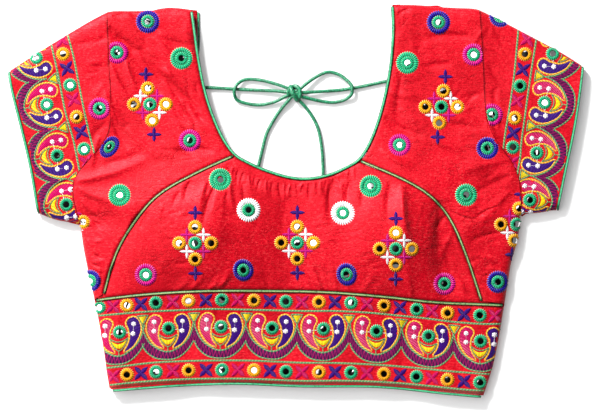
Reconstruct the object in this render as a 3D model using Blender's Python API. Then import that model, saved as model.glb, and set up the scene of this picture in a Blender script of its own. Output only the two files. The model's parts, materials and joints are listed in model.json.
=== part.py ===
"""Choli blouse with a princess-cut front, laid flat on its back.

Metres, +Z up. +X runs from the left cuff to the right cuff, +Y from the hem to the
shoulders, and the origin is on the floor under the middle of the blouse.
The back lies on the floor, the front arches over it, and both sleeves are flattened tubes.
"""
import math

import bmesh
import bpy
import numpy as np

for old in list(bpy.data.objects):
    bpy.data.objects.remove(old, do_unlink=True)

MM = 0.001

# ---------------------------------------------------------------- driving sizes
CLOTH = 1.5 * MM            # raw silk with its lining, quilted together at the seams
SEAM_GAP = 0.3 * MM         # between two pieces that are sewn together
PIPING_RADIUS = 1.15 * MM   # corded piping in the seams and round the edges
PIPING_PROUD = 0.4 * MM     # how far the piping's centre stands above mid-cloth
DORI_RADIUS = 1.65 * MM     # tie cord
EDGE_HEIGHT = 5.5 * MM      # side, shoulder and sleeve folds, above the floor
FOLD_WIDTH = 9.0 * MM       # how far in from an edge its rounding reaches
FRONT_LIFT = 11.0 * MM      # the front's outer face above the floor, away from the bust
BACK_HEM_RISE = 4.0 * MM    # the back hem lies this much inside the front hem
OVERLAP = 9.0 * MM          # each back half runs this far past the centre line
LAP_CLIMB = (22 * MM, 12 * MM)      # where the right half climbs onto the left one
HOOK_ROOM = 1.6 * MM        # between the overlapped back halves, for the hooks
TRIM_STOP = 2.2 * MM        # a piping ends this far short of a folded edge
CUFF_CLEARANCE = 0.5 * MM   # between a sleeve's open end and its piping

# Named outlines in millimetres, (x, y), each from its first-named end
OUTLINE = {
    "left": {
        "shoulder": [(-183, 184), (-156, 185), (-131, 186), (-112, 188), (-100, 186)],
        "sleeve fold": [(-183, 184), (-207, 171), (-237, 153), (-268, 134), (-279.5, 126)],
        "armhole": [(-183, 184), (-181, 137), (-179, 98), (-181, 66), (-195, 46), (-212, 27),
                    (-217, 12), (-214, -3), (-209, -22)],
        "cuff": [(-279.5, 126), (-276, 107), (-268, 76), (-257, 29), (-251, -11)],
        "underarm": [(-209, -22), (-221, -20), (-233, -18), (-251, -11)],
        "side": [(-209, -22), (-207, -40), (-201, -70), (-195, -97)],
        "band side": [(-195, -97), (-187, -139), (-182, -176), (-179, -185)],
        "neck": [(-100, 186), (-97, 166), (-93, 137), (-85, 100), (-71, 64), (-58, 45)],
        "princess": [(-58, 45), (-93, 29), (-132, 7), (-155, -19), (-174, -51), (-186, -91)],
        "back neck": [(-93.5, 186), (-93, 165), (-93, 147), (-97, 122), (-95, 80), (-82, 38),
                      (-58, 0), (-28, -22)],
    },
    "right": {
        "shoulder": [(179, 186), (158, 188), (138, 189), (118, 191), (93, 191)],
        "sleeve fold": [(179, 186), (209, 171), (234, 158), (268, 140), (280.5, 131)],
        "armhole": [(179, 186), (181, 158), (183, 121), (184, 93), (188, 70), (200, 52),
                    (214, 32), (219, 8), (219, -14)],
        "cuff": [(280.5, 131), (275, 90), (270, 62), (262, 25), (256, -6)],
        "underarm": [(219, -14), (228, -12), (244, -10), (256, -6)],
        "side": [(219, -14), (217, -37), (211, -52), (207, -76), (203, -101)],
        "band side": [(203, -101), (197, -137), (192, -161), (182, -191)],
        "neck": [(93, 191), (94, 166), (91, 129), (83, 90), (72, 58), (61, 40)],
        "princess": [(61, 40), (103, 22), (130, 6), (150, -17), (167, -56), (181, -98)],
        "back neck": [(93, 191), (94, 170), (96, 147), (99, 122), (96, 80), (84, 38),
                      (60, 0), (30, -22)],
    },
    "front": {
        "neck bottom": [(-58, 45), (-31, 32), (2, 23), (32, 26.5), (61, 40)],
        "band top": [(-195, -97), (-186, -95), (-141, -90), (-86, -87), (-32, -87), (26, -88),
                     (80, -92), (135, -98), (181, -100), (203, -101)],
        "hem": [(-179, -185), (-115, -180), (-54, -178), (4, -180.5), (79, -181), (140, -187),
                (182, -191)],
    },
}
BACK_NECK_BOTTOM = -28 * MM

# Fullness of the front: centre, reach across and along, and rise, in millimetres
BUST = [
    {"x": -93, "y": -26, "across": 78, "along": 62, "rise": 20},
    {"x": 90, "y": -28, "across": 72, "along": 62, "rise": 20},
]

# Large folds: a soft ridge (or trough, where the lift is negative) from one point to another
FOLDS = [
    {"from": (-208, 12), "to": (-160, -8), "half_width": 8, "lift": 4.0},
    {"from": (-200, -14), "to": (-168, -24), "half_width": 6, "lift": -3.0},
    {"from": (212, 22), "to": (172, 48), "half_width": 6, "lift": 3.5},
    {"from": (208, 2), "to": (160, 22), "half_width": 7, "lift": -3.5},
    {"from": (205, -22), "to": (150, -4), "half_width": 7, "lift": 3.5},
    {"from": (-64, 22), "to": (-70, -45), "half_width": 8, "lift": -3.0},
    {"from": (42, 18), "to": (50, -40), "half_width": 8, "lift": -3.0},
    {"from": (146, -10), "to": (152, -88), "half_width": 12, "lift": -4.5},
    {"from": (-186, 96), "to": (-240, 72), "half_width": 8, "lift": 2.5},
    {"from": (190, 92), "to": (246, 72), "half_width": 8, "lift": 2.5},
    {"from": (-120, -100), "to": (-96, -176), "half_width": 14, "lift": -2.5},
    {"from": (100, -104), "to": (112, -180), "half_width": 14, "lift": -2.5},
]

# Tie cord, (x, y, z) in millimetres: the back neck edges, the bow and its two tails
DORI = {
    "dori_left_span": [(-96.6, 109.6, 2.2), (-87, 110.8, 1.9), (-73, 110.2, 1.8),
                       (-60, 109.4, 1.8), (-46, 108.6, 2.0), (-32, 108.1, 2.8),
                       (-20, 107.4, 3.8), (-8.8, 106.2, 4.9)],
    "dori_right_span": [(98.5, 118.4, 2.2), (88, 116.8, 1.9), (72, 113.4, 1.8),
                        (56, 110.2, 1.8), (44, 108.4, 2.0), (32, 107.4, 2.8),
                        (20, 106.6, 3.8), (6.1, 105.7, 4.9)],
    "dori_left_loop": [(-6.6, 109.5, 5.7), (-16, 113.2, 5.0), (-30, 117.2, 3.6),
                       (-43, 119.0, 2.6), (-51, 117.8, 3.0), (-56.6, 113.8, 4.8),
                       (-59.0, 109.2, 5.6), (-59.2, 104.2, 4.6), (-56.6, 98.6, 2.4),
                       (-47, 95.2, 1.8), (-34, 94.0, 2.0), (-20, 97.0, 3.2),
                       (-9.5, 102.3, 4.7)],
    "dori_right_loop": [(3.9, 108.9, 5.6), (12, 115.6, 4.8), (21, 121.6, 3.4),
                        (31, 125.8, 2.4), (41, 124.0, 2.4), (49, 118.8, 3.6),
                        (54.4, 113.0, 5.2), (55.4, 108.6, 5.6), (54.0, 103.4, 4.4),
                        (47.6, 98.8, 2.4), (37, 96.4, 1.8), (26, 97.4, 2.2),
                        (16, 99.4, 3.4), (6.4, 101.8, 4.7)],
    "dori_left_tail": [(-6.1, 98.8, 4.1), (-14.6, 89, 2.4), (-22.4, 77, 1.8), (-28.4, 65, 1.8),
                       (-32, 51, 1.8), (-35.6, 36, 1.8), (-40, 20, 1.8), (-45, 3, 1.8)],
    "dori_right_tail": [(3.2, 98.8, 4.1), (11, 90.4, 2.4), (18, 80, 1.8), (22.6, 69, 1.8),
                        (25.2, 55, 1.8), (26.6, 40, 1.8), (26.8, 24, 1.8), (24, 6, 1.8),
                        (20, -10, 1.8)],
}
KNOT = {"x": -1.4, "y": 104.0, "z": 5.3, "wide": 14.6, "deep": 12.4, "tall": 10.2}

# Hooks between the lapped back halves
HOOKS = 4
HOOK = {"long": 8.0 * MM, "wide": 5.0 * MM, "wire": 0.5 * MM, "from_ends": 14 * MM}

# How finely the panels are divided
ROLL_ANGLES = (0, 12, 34, 61, 90)   # round a folded edge, in degrees
ARMHOLE_STEPS = 13
CUFF_STEPS = 6              # from armhole to cuff
NECK_STEPS = 9
BACK_NECK_STEPS = 14
PRINCESS_STEPS = 14
CENTRE_STEPS = 26           # across the centre panel
SIDE_COLUMNS = 7
SIDE_STEPS = 6              # down the side seam
BAND_SIDE_STEPS = 5
BACK_COLUMNS = 5
PIPING_SIDES = 1            # bevel resolution: 6 sides
DORI_SIDES = 2              # bevel resolution: 8 sides
DORI_SUBSTEPS = 2           # between two given points of the tie cord
SUBSTEPS = 12               # of a smooth outline, between two of its given points
SHARPEST_SMOOTH = 50        # degrees between two faces that are still shaded as one

ROLL = FOLD_WIDTH * (1 - np.cos(np.radians(ROLL_ANGLES)))


# ---------------------------------------------------------------- outlines
def curve_through(points, substeps=SUBSTEPS):
    """A smooth Catmull-Rom curve through points in millimetres, as metres."""
    p = np.array(points, dtype=float) * MM
    p = np.vstack([2 * p[0] - p[1], p, 2 * p[-1] - p[-2]])
    out = []
    for a, b, c, d in zip(p, p[1:], p[2:], p[3:]):
        for s in np.linspace(0, 1, substeps, endpoint=False):
            out.append(0.5 * (2 * b + (c - a) * s + (2 * a - 5 * b + 4 * c - d) * s ** 2
                              + (3 * b - a - 3 * c + d) * s ** 3))
    return np.array(out + [p[-2]])


def run_lengths(curve):
    steps = np.linalg.norm(np.diff(curve, axis=0), axis=1)
    return np.concatenate([[0.0], np.cumsum(steps)])


def at_distances(curve, distances):
    """Points of a curve at these distances from its start."""
    run = run_lengths(curve)
    return np.column_stack([np.interp(distances, run, curve[:, k])
                            for k in range(curve.shape[1])])


def stations(curve, steps, roll_start=False, roll_end=False):
    """Points along a curve, closer together where it meets a rounded edge."""
    total = run_lengths(curve)[-1]
    start = ROLL[-1] if roll_start else 0.0
    end = total - ROLL[-1] if roll_end else total
    distances = list(np.linspace(start, end, steps + 1))
    if roll_start:
        distances = list(ROLL[:-1]) + distances
    if roll_end:
        distances = distances + list(total - ROLL[-2::-1])
    return at_distances(curve, distances)


def split_chain(runs):
    """One smooth curve through joined runs of points, cut again where they join."""
    points = runs[0] + [point for run in runs[1:] for point in run[1:]]
    curve = curve_through(points)
    cuts = np.cumsum([0] + [len(run) - 1 for run in runs]) * SUBSTEPS
    return [curve[a:b + 1] for a, b in zip(cuts, cuts[1:])]


EDGE = {side: {name: curve_through(points) for name, points in table.items()}
        for side, table in OUTLINE.items()}
FOLDED = {}
for side in ("left", "right"):
    table = OUTLINE[side]
    shoulder, sleeve_fold = split_chain([table["shoulder"][::-1], table["sleeve fold"]])
    underarm, side_seam, band_side = split_chain([table["underarm"][::-1], table["side"],
                                                  table["band side"]])
    EDGE[side]["shoulder"] = shoulder[::-1]
    EDGE[side]["sleeve fold"] = sleeve_fold
    EDGE[side]["underarm"] = underarm[::-1]
    EDGE[side]["side"] = side_seam
    EDGE[side]["band side"] = band_side
    FOLDED[side] = [np.vstack([shoulder, sleeve_fold[1:]]),
                    np.vstack([underarm, side_seam[1:], band_side[1:]])]
HEM_MIDDLE = EDGE["front"]["hem"][len(EDGE["front"]["hem"]) // 2][1]


# ---------------------------------------------------------------- heights
def rim_segments():
    """The folded rim as segments, with the direction that points into the cloth."""
    starts, ends, inward = [], [], []
    for side, hand in (("left", 1), ("right", -1)):
        for chain in FOLDED[side]:
            ahead = np.diff(chain, axis=0)
            ahead /= np.linalg.norm(ahead, axis=1)[:, None]
            starts.append(chain[:-1])
            ends.append(chain[1:])
            inward.append(np.column_stack([-ahead[:, 1], ahead[:, 0]]) * hand)
    return np.vstack(starts), np.vstack(ends), np.vstack(inward)


RIM_START, RIM_END, RIM_INWARD = rim_segments()
ON_RIM = 0.02 * MM          # this near a folded edge counts as on it
STEEPEST = 1e4              # slope of the cloth where it stands upright at that edge


def rounding(x, y):
    """How far a folded edge's rounding has risen at (x, y), 0 to 1, and its gradient."""
    p = np.array([x, y])
    along = RIM_END - RIM_START
    share = np.sum((p - RIM_START) * along, axis=1) / np.sum(along * along, axis=1)
    foot = RIM_START + along * np.clip(share, 0, 1)[:, None]
    off = np.linalg.norm(foot - p, axis=1)
    nearest = int(np.argmin(off))
    distance = off[nearest]
    if distance >= FOLD_WIDTH:
        return 1.0, np.zeros(2)
    if distance > ON_RIM:
        inward = (p - foot[nearest]) / distance
    else:
        distance = 0.0
        near = RIM_INWARD[off < 2 * ON_RIM]
        inward = near.mean(axis=0)
        inward /= np.linalg.norm(inward)
    left = 1 - distance / FOLD_WIDTH
    risen = math.sqrt(1 - left ** 2)
    slope = left / max(risen, 1 / STEEPEST) / FOLD_WIDTH
    return risen, inward * slope


def fold_lift(x, y, fold):
    a = np.array(fold["from"]) * MM
    b = np.array(fold["to"]) * MM
    along = b - a
    share = float(np.dot([x - a[0], y - a[1]], along) / np.dot(along, along))
    foot = a + along * min(max(share, 0), 1)
    off = math.hypot(x - foot[0], y - foot[1]) / (fold["half_width"] * MM)
    return fold["lift"] * MM * math.exp(-off ** 2)


def crown(x, y):
    """The front's outer face, away from its rounded edges."""
    z = FRONT_LIFT
    for cup in BUST:
        across = (x / MM - cup["x"]) / cup["across"]
        along = (y / MM - cup["y"]) / cup["along"]
        z += cup["rise"] * MM * math.exp(-across ** 2 - along ** 2)
    return z + sum(fold_lift(x, y, fold) for fold in FOLDS)


def flat(_x, _y):
    return 0.0


def climb(x, _y):
    """The right back half steps up onto the left one's edge at the centre."""
    foot, top = LAP_CLIMB
    share = min(max((foot - x) / (foot - top), 0), 1)
    return share * (CLOTH + HOOK_ROOM)


def gradient(height, x, y, step=0.5 * MM):
    return np.array([height(x + step, y) - height(x - step, y),
                     height(x, y + step) - height(x, y - step)]) / (2 * step)


def wall(x, y, z, slope, inner_side):
    """Outer and inner point of the cloth, square to its slope."""
    normal = np.array([-slope[0], -slope[1], 1.0])
    normal /= np.linalg.norm(normal)
    outer = np.array([x, y, z])
    return outer, outer + normal * CLOTH * inner_side


def front_wall(x, y):
    """The front and the sleeves' upper layers."""
    risen, rising = rounding(x, y)
    rim = EDGE_HEIGHT + SEAM_GAP / 2
    top = crown(x, y)
    slope = gradient(crown, x, y) * risen + (top - rim) * rising
    return wall(x, y, rim + (top - rim) * risen, slope, -1)


def back_wall(x, y, lap=flat):
    """The lower layers: on the floor, curling up to the folded edges."""
    risen, rising = rounding(x, y)
    rim = EDGE_HEIGHT - SEAM_GAP / 2
    slope = gradient(lap, x, y) - rim * rising
    return wall(x, y, rim * (1 - risen) + lap(x, y), slope, 1)


def back_right_wall(x, y):
    return back_wall(x, y, climb)


BACK_WALL = {"left": back_wall, "right": back_right_wall}


# ---------------------------------------------------------------- panels
STRAIGHT_ON = 0.2           # sine of the turn below which a corner is taken as straight on
ROUNDED_SHARE = 0.7         # of a narrow row's width, given to its fixed columns


def trimmed(sides, insets):
    """Four runs of stations round a panel, moved in by an inset for each segment.

    sides: top, right, bottom, left, each in the direction that goes round the panel.
    """
    loop = np.vstack([side[:-1] for side in sides])
    per_segment = np.concatenate([np.broadcast_to(inset, len(side) - 1)
                                  for side, inset in zip(sides, insets)])
    ahead = np.roll(loop, -1, axis=0) - loop
    ahead /= np.linalg.norm(ahead, axis=1)[:, None]
    area = np.sum(loop[:, 0] * np.roll(loop[:, 1], -1) - np.roll(loop[:, 0], -1) * loop[:, 1])
    turn = 1.0 if area > 0 else -1.0
    normal = np.column_stack([-ahead[:, 1], ahead[:, 0]]) * turn
    moved = []
    for k in range(len(loop)):
        n0, n1 = normal[k - 1], normal[k]
        d0, d1 = per_segment[k - 1], per_segment[k]
        cross = n0[0] * n1[1] - n0[1] * n1[0]
        if abs(cross) < STRAIGHT_ON:
            shift = (n0 + n1) / np.linalg.norm(n0 + n1) * max(d0, d1)
        else:
            shift = np.linalg.solve(np.array([n0, n1]), np.array([d0, d1]))
        moved.append(loop[k] + shift)
    moved = np.array(moved)
    result, first = [], 0
    for side in sides:
        last = first + len(side) - 1
        result.append(moved[np.arange(first, last + 1) % len(moved)])
        first = last
    return result


def spread(count, from_left=(0.0,), from_right=(0.0,)):
    """A rule for a row's columns: fixed distances in from each end, evenly spaced between."""
    def columns(width):
        fixed = max(from_left[-1] + from_right[-1], SEAM_GAP)
        scale = min(1.0, ROUNDED_SHARE * width / fixed)
        left = np.array(from_left) * scale / width
        right = 1 - np.array(from_right)[::-1] * scale / width
        return np.concatenate([left[:-1], np.linspace(left[-1], right[0], count + 1),
                               right[1:]])
    return columns


def filled(top, right, bottom, left, columns):
    """Rows of points between four runs of stations (a Coons patch).

    top and bottom run from left to right, left and right from top to bottom.
    """
    down = (run_lengths(left) / run_lengths(left)[-1]
            + run_lengths(right) / run_lengths(right)[-1]) / 2
    rows = []
    for a, b, v in zip(left, right, down):
        u = columns(np.linalg.norm(b - a))[:, None]
        row = a + (b - a) * u
        for run, weight in ((top, 1 - v), (bottom, v)):
            bowed = at_distances(run, u[:, 0] * run_lengths(run)[-1])
            row = row + weight * (bowed - run[0] - (run[-1] - run[0]) * u)
        rows.append(row)
    return np.array(rows)


def panel_plan(top, right, bottom, left, insets, columns):
    """The trimmed grid of a panel. Runs as in filled; insets for the four sides."""
    around = [top, right, bottom[::-1], left[::-1]]
    insets = [np.asarray(inset)[::-1] if k > 1 and np.ndim(inset) else inset
              for k, inset in enumerate(insets)]
    t, r, b, l = trimmed(around, insets)
    return filled(t, r, b[::-1], l[::-1], columns)


def raised(plan, wall_at):
    """Outer and inner points of the cloth over a plan: [row, column, outer or inner]."""
    return np.array([[wall_at(x, y) for x, y in row] for row in plan])


# ---------------------------------------------------------------- Blender pieces
collection = bpy.data.collections.new("choli_blouse")
bpy.context.scene.collection.children.link(collection)
blouse = bpy.data.objects.new("choli_blouse_root", None)
collection.objects.link(blouse)


def material(name, colour, roughness, sheen=0.0):
    made = bpy.data.materials.new(name)
    made.use_nodes = True
    shader = made.node_tree.nodes["Principled BSDF"]
    shader.inputs["Base Color"].default_value = (*colour, 1)
    shader.inputs["Roughness"].default_value = roughness
    shader.inputs["Sheen Weight"].default_value = sheen
    made.diffuse_color = (*colour, 1)
    return made


RED_SILK = material("red_raw_silk", (0.72, 0.01, 0.02), 0.45, 0.3)
GREEN_CORD = material("green_satin_cord", (0.02, 0.33, 0.12), 0.4)
HOOK_METAL = material("hook_metal", (0.55, 0.54, 0.52), 0.3)


def placed(name, data, finish):
    piece = bpy.data.objects.new(name, data)
    collection.objects.link(piece)
    piece.parent = blouse
    data.materials.append(finish)
    return piece


def cloth_piece(name, grid):
    """A wall of cloth: a grid primitive laid on its outer face and extruded to its inner."""
    rows, columns = grid.shape[:2]
    bm = bmesh.new()
    bmesh.ops.create_grid(bm, x_segments=columns - 1, y_segments=rows - 1, size=0.5)
    row_of = bm.verts.layers.int.new("row")
    column_of = bm.verts.layers.int.new("column")
    for vert in bm.verts:
        vert[row_of] = round((vert.co.y + 0.5) * (rows - 1))
        vert[column_of] = round((vert.co.x + 0.5) * (columns - 1))
    made = bmesh.ops.extrude_face_region(bm, geom=bm.faces[:], use_keep_orig=True)
    inner = {item for item in made["geom"] if isinstance(item, bmesh.types.BMVert)}
    for vert in bm.verts:
        vert.co = grid[vert[row_of], vert[column_of], int(vert in inner)]
    bmesh.ops.recalc_face_normals(bm, faces=bm.faces)
    if bm.calc_volume(signed=True) < 0:
        bmesh.ops.reverse_faces(bm, faces=bm.faces)
    mesh = bpy.data.meshes.new(name)
    bm.to_mesh(mesh)
    bm.free()
    mesh.shade_smooth()
    mesh.set_sharp_from_angle(angle=math.radians(SHARPEST_SMOOTH))
    return placed(name, mesh, RED_SILK)


def cord(name, points, radius, resolution, closed=False):
    """A round cord along points in metres."""
    data = bpy.data.curves.new(name, "CURVE")
    data.dimensions = "3D"
    data.bevel_depth = radius
    data.bevel_resolution = resolution
    data.use_fill_caps = not closed
    spline = data.splines.new("POLY")
    spline.points.add(len(points) - 1)
    for point, place in zip(spline.points, points):
        point.co = (*place, 1)
    spline.use_cyclic_u = closed
    return placed(name, data, GREEN_CORD)


# ---------------------------------------------------------------- stations shared at seams
def shortened(curve, start=0.0, end=0.0):
    """A run of stations with a length taken off each end."""
    run = run_lengths(curve)
    kept = [d for d in run if start + 1 * MM < d < run[-1] - end - 1 * MM]
    return at_distances(curve, [start] + kept + [run[-1] - end])


def moved_in(curve, distance):
    """An open run moved sideways, to the left of its direction where distance is positive."""
    ahead = np.gradient(curve, axis=0)
    ahead /= np.linalg.norm(ahead, axis=1)[:, None]
    return curve + np.column_stack([-ahead[:, 1], ahead[:, 0]]) * distance


def back_neck_stations(side):
    """Down the back neck and across its bottom to the edge of this half's lap."""
    curve = EDGE[side]["back neck"]
    toward = -1 if side == "right" else 1
    below = np.array([(-toward * LAP_CLIMB[0], 0), (-toward * LAP_CLIMB[1], 0),
                      (toward * OVERLAP, BACK_NECK_BOTTOM)])
    start, end = curve[-1], below[-1]
    below[:, 1] = start[1] + (end[1] - start[1]) * (below[:, 0] - start[0]) / (end[0] - start[0])
    down = stations(curve, BACK_NECK_STEPS, roll_start=True)
    return np.vstack([down, below])


SEAM = {}
for side in ("left", "right"):
    edge = EDGE[side]
    SEAM[side] = {
        "armhole": stations(edge["armhole"], ARMHOLE_STEPS, roll_start=True, roll_end=True),
        "cuff": stations(edge["cuff"], ARMHOLE_STEPS, roll_start=True, roll_end=True),
        "sleeve fold": stations(edge["sleeve fold"], CUFF_STEPS),
        "underarm": stations(edge["underarm"], CUFF_STEPS),
        "side": stations(edge["side"], SIDE_STEPS),
        "band side": stations(edge["band side"], BAND_SIDE_STEPS),
        "shoulder": stations(edge["shoulder"], SIDE_COLUMNS, roll_start=True),
        "neck": stations(edge["neck"], NECK_STEPS, roll_start=True),
        "princess": stations(edge["princess"], PRINCESS_STEPS),
        "back neck": back_neck_stations(side),
    }

# ---------------------------------------------------------------- front panels
BESIDE_PIPING = PIPING_RADIUS + SEAM_GAP        # from a seam's line to the cloth beside it
INSIDE_PIPING = 2 * PIPING_RADIUS + SEAM_GAP    # from a piped edge to the cloth inside it


def front_side(side):
    """From shoulder to band, between the armhole and the neck and princess seam."""
    seam = SEAM[side]
    outer = np.vstack([seam["armhole"][:-1], seam["side"]])
    inner = np.vstack([seam["neck"][:-1], seam["princess"]])
    bottom = np.vstack([seam["side"][-1], seam["princess"][-1]])
    on_outer = [SEAM_GAP / 2] * (len(seam["armhole"]) - 1) + [0.0] * (len(seam["side"]) - 1)
    on_inner = ([INSIDE_PIPING] * (len(seam["neck"]) - 1)
                + [BESIDE_PIPING] * (len(seam["princess"]) - 1))
    insets = [0.0, np.array(on_inner), BESIDE_PIPING, np.array(on_outer)]
    columns = spread(SIDE_COLUMNS, from_left=ROLL)
    plan = panel_plan(seam["shoulder"], inner, bottom, outer, insets, columns)
    return raised(plan, front_wall)


def front_centre():
    """Between the two princess seams, from the neck to the band."""
    left, right = SEAM["left"]["princess"], SEAM["right"]["princess"]
    band_top = EDGE["front"]["band top"]
    run = run_lengths(band_top)
    start = run[np.argmin(np.linalg.norm(band_top - left[-1], axis=1))]
    end = run[np.argmin(np.linalg.norm(band_top - right[-1], axis=1))]
    bottom = at_distances(band_top, np.linspace(start, end, CENTRE_STEPS + 1))
    left = np.vstack([left[:-1], bottom[0]])
    right = np.vstack([right[:-1], bottom[-1]])
    top = stations(EDGE["front"]["neck bottom"], CENTRE_STEPS)
    insets = [INSIDE_PIPING, BESIDE_PIPING, BESIDE_PIPING, BESIDE_PIPING]
    plan = panel_plan(top, right, bottom, left, insets, spread(CENTRE_STEPS))
    return raised(plan, front_wall)


def front_band():
    """The bordered band under the front, from side seam to side seam."""
    top = stations(EDGE["front"]["band top"], CENTRE_STEPS, roll_start=True, roll_end=True)
    bottom = stations(EDGE["front"]["hem"], CENTRE_STEPS, roll_start=True, roll_end=True)
    left, right = SEAM["left"]["band side"], SEAM["right"]["band side"]
    insets = [BESIDE_PIPING, 0.0, INSIDE_PIPING, 0.0]
    columns = spread(CENTRE_STEPS, from_left=ROLL, from_right=ROLL)
    return raised(panel_plan(top, right, bottom, left, insets, columns), front_wall)


# ---------------------------------------------------------------- back halves
def back_half(side):
    """The plain back from shoulder to hem, past the centre line by the overlap."""
    seam = SEAM[side]
    outer = np.vstack([seam["armhole"][:-1], seam["side"][:-1], seam["band side"]])
    outer = outer[outer[:, 1] > outer[-1, 1] + BACK_HEM_RISE]
    hem_end = at_distances(EDGE[side]["band side"],
                           [run_lengths(EDGE[side]["band side"])[-1] - BACK_HEM_RISE])
    outer = np.vstack([outer, hem_end])
    neck = seam["back neck"]
    rows = len(outer) - len(neck) + 1
    centre = np.column_stack([np.full(rows, neck[-1, 0]),
                              np.linspace(neck[-1, 1], HEM_MIDDLE + BACK_HEM_RISE, rows)])
    inner = np.vstack([neck[:-1], centre])
    top = np.vstack([EDGE[side]["shoulder"], neck[0]])
    if np.allclose(top[-1], top[-2]):
        top = top[:-1]
    bottom = np.vstack([outer[-1], inner[-1]])
    on_outer = [SEAM_GAP / 2] * (len(seam["armhole"]) - 1)
    on_outer += [0.0] * (len(outer) - 1 - len(on_outer))
    on_inner = [INSIDE_PIPING] * (len(neck) - 1) + [0.0] * (rows - 1)
    insets = [0.0, np.array(on_inner), 0.0, np.array(on_outer)]
    lap = (0.0, OVERLAP + LAP_CLIMB[1], OVERLAP + LAP_CLIMB[0])
    columns = spread(BACK_COLUMNS, from_left=ROLL, from_right=lap)
    return raised(panel_plan(top, inner, bottom, outer, insets, columns), BACK_WALL[side])


# ---------------------------------------------------------------- sleeves
def sleeve_wrap(side):
    """Upper layer from the underarm to the top fold, then the lower layer back."""
    seam = SEAM[side]
    insets = [0.0, INSIDE_PIPING, 0.0, SEAM_GAP / 2]
    plan = panel_plan(seam["sleeve fold"], seam["cuff"], seam["underarm"], seam["armhole"],
                      insets, spread(CUFF_STEPS))
    upper = raised(plan, front_wall)
    lower = raised(plan, back_wall)
    upper[0, :, :, 2] = EDGE_HEIGHT
    return np.concatenate([upper[::-1], lower[1:]])


def cuff_line(wrap):
    """Round the sleeve's open end, mid-cloth and one cord's radius past its edge."""
    middle = wrap[:-1].mean(axis=2)
    outward = middle[:, -1] - middle[:, -2]
    outward /= np.linalg.norm(outward, axis=1)[:, None]
    line = middle[:, -1] + outward * (PIPING_RADIUS + CUFF_CLEARANCE)
    line[:, 2] = np.maximum(line[:, 2], PIPING_RADIUS)
    return line[::2]


# ---------------------------------------------------------------- piping
def piping(name, line, wall_at=front_wall):
    """Corded piping along a line, standing a little proud of the cloth beside it."""
    points = []
    for x, y in line:
        outer, inner = wall_at(x, y)
        out = (outer - inner) / CLOTH
        middle = (outer + inner) / 2 + out * PIPING_PROUD
        middle[2] = max(middle[2], PIPING_RADIUS)
        points.append(middle)
    return cord(name, points, PIPING_RADIUS, PIPING_SIDES)


# ---------------------------------------------------------------- bow and hooks
def knot():
    bm = bmesh.new()
    bmesh.ops.create_uvsphere(bm, u_segments=14, v_segments=9, radius=0.5)
    size = (KNOT["wide"] * MM, KNOT["deep"] * MM, KNOT["tall"] * MM)
    bmesh.ops.scale(bm, vec=size, verts=bm.verts)
    place = (KNOT["x"] * MM, KNOT["y"] * MM, KNOT["z"] * MM)
    bmesh.ops.translate(bm, vec=place, verts=bm.verts)
    mesh = bpy.data.meshes.new("dori_knot")
    bm.to_mesh(mesh)
    bm.free()
    mesh.shade_smooth()
    placed("dori_knot", mesh, GREEN_CORD)


def back_hooks():
    """Hairpins of flattened wire, spaced down the lap between the two back halves."""
    hem_y = HEM_MIDDLE + BACK_HEM_RISE
    first, last = BACK_NECK_BOTTOM - HOOK["from_ends"], hem_y + HOOK["from_ends"]
    z = CLOTH + HOOK_ROOM / 2
    half_wide = HOOK["wide"] / 2 - HOOK["wire"]
    bend_x = HOOK["long"] / 2 - HOOK["wire"] - half_wide
    for k, y in enumerate(np.linspace(first, last, HOOKS)):
        bend = [(bend_x + half_wide * math.sin(a), y + half_wide * math.cos(a), z)
                for a in np.linspace(0, math.pi, 6)]
        ends = [(-HOOK["long"] / 2 + HOOK["wire"], y + s * half_wide, z) for s in (1, -1)]
        hook = cord(f"back_hook_{k + 1}", [ends[0], *bend, ends[1]], HOOK["wire"], 1)
        hook.data.materials.clear()
        hook.data.materials.append(HOOK_METAL)


# ---------------------------------------------------------------- build the blouse
for side in ("left", "right"):
    cloth_piece(f"front_side_{side}", front_side(side))
    cloth_piece(f"back_{side}", back_half(side))
cloth_piece("front_centre", front_centre())
cloth_piece("front_band", front_band())

for side in ("left", "right"):
    wrap = sleeve_wrap(side)
    cloth_piece(f"sleeve_{side}", wrap)
    cord(f"cuff_piping_{side}", cuff_line(wrap), PIPING_RADIUS, PIPING_SIDES, closed=True)

neck_line = np.vstack([SEAM["left"]["neck"][:-1],
                       stations(EDGE["front"]["neck bottom"], CENTRE_STEPS // 2)[:-1],
                       SEAM["right"]["neck"][::-1]])
neck_line = shortened(moved_in(neck_line, -PIPING_RADIUS), TRIM_STOP, TRIM_STOP)
piping("neck_piping_front", neck_line)

for side in ("left", "right"):
    line = shortened(SEAM[side]["princess"], INSIDE_PIPING + 2 * SEAM_GAP,
                     BESIDE_PIPING + 2 * SEAM_GAP)
    piping(f"princess_piping_{side}", line)

band_line = stations(EDGE["front"]["band top"], CENTRE_STEPS, roll_start=True, roll_end=True)
piping("band_piping_top", shortened(band_line, TRIM_STOP, TRIM_STOP))
hem_line = stations(EDGE["front"]["hem"], CENTRE_STEPS, roll_start=True, roll_end=True)
piping("hem_piping", shortened(moved_in(hem_line, PIPING_RADIUS), TRIM_STOP, TRIM_STOP))

for side, sign in (("left", -1), ("right", 1)):
    line = moved_in(SEAM[side]["back neck"], sign * PIPING_RADIUS)
    piping(f"neck_piping_back_{side}", shortened(line, TRIM_STOP), BACK_WALL[side])

for name, route in DORI.items():
    cord(name, curve_through(route, DORI_SUBSTEPS), DORI_RADIUS, DORI_SIDES)
knot()
back_hooks()
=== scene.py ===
# %% [markdown]
# # A choli blouse, laid flat
#
# A choli is a short, close-fitting blouse. This one is red raw silk with a princess-cut front,
# mirror embroidery, green piping and a tie cord across its deep back neck. It lies on its back.
# The CAD solids give every panel its place. Here each panel becomes real cloth, and the thread
# work is sewn on top, motif by motif.

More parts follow.
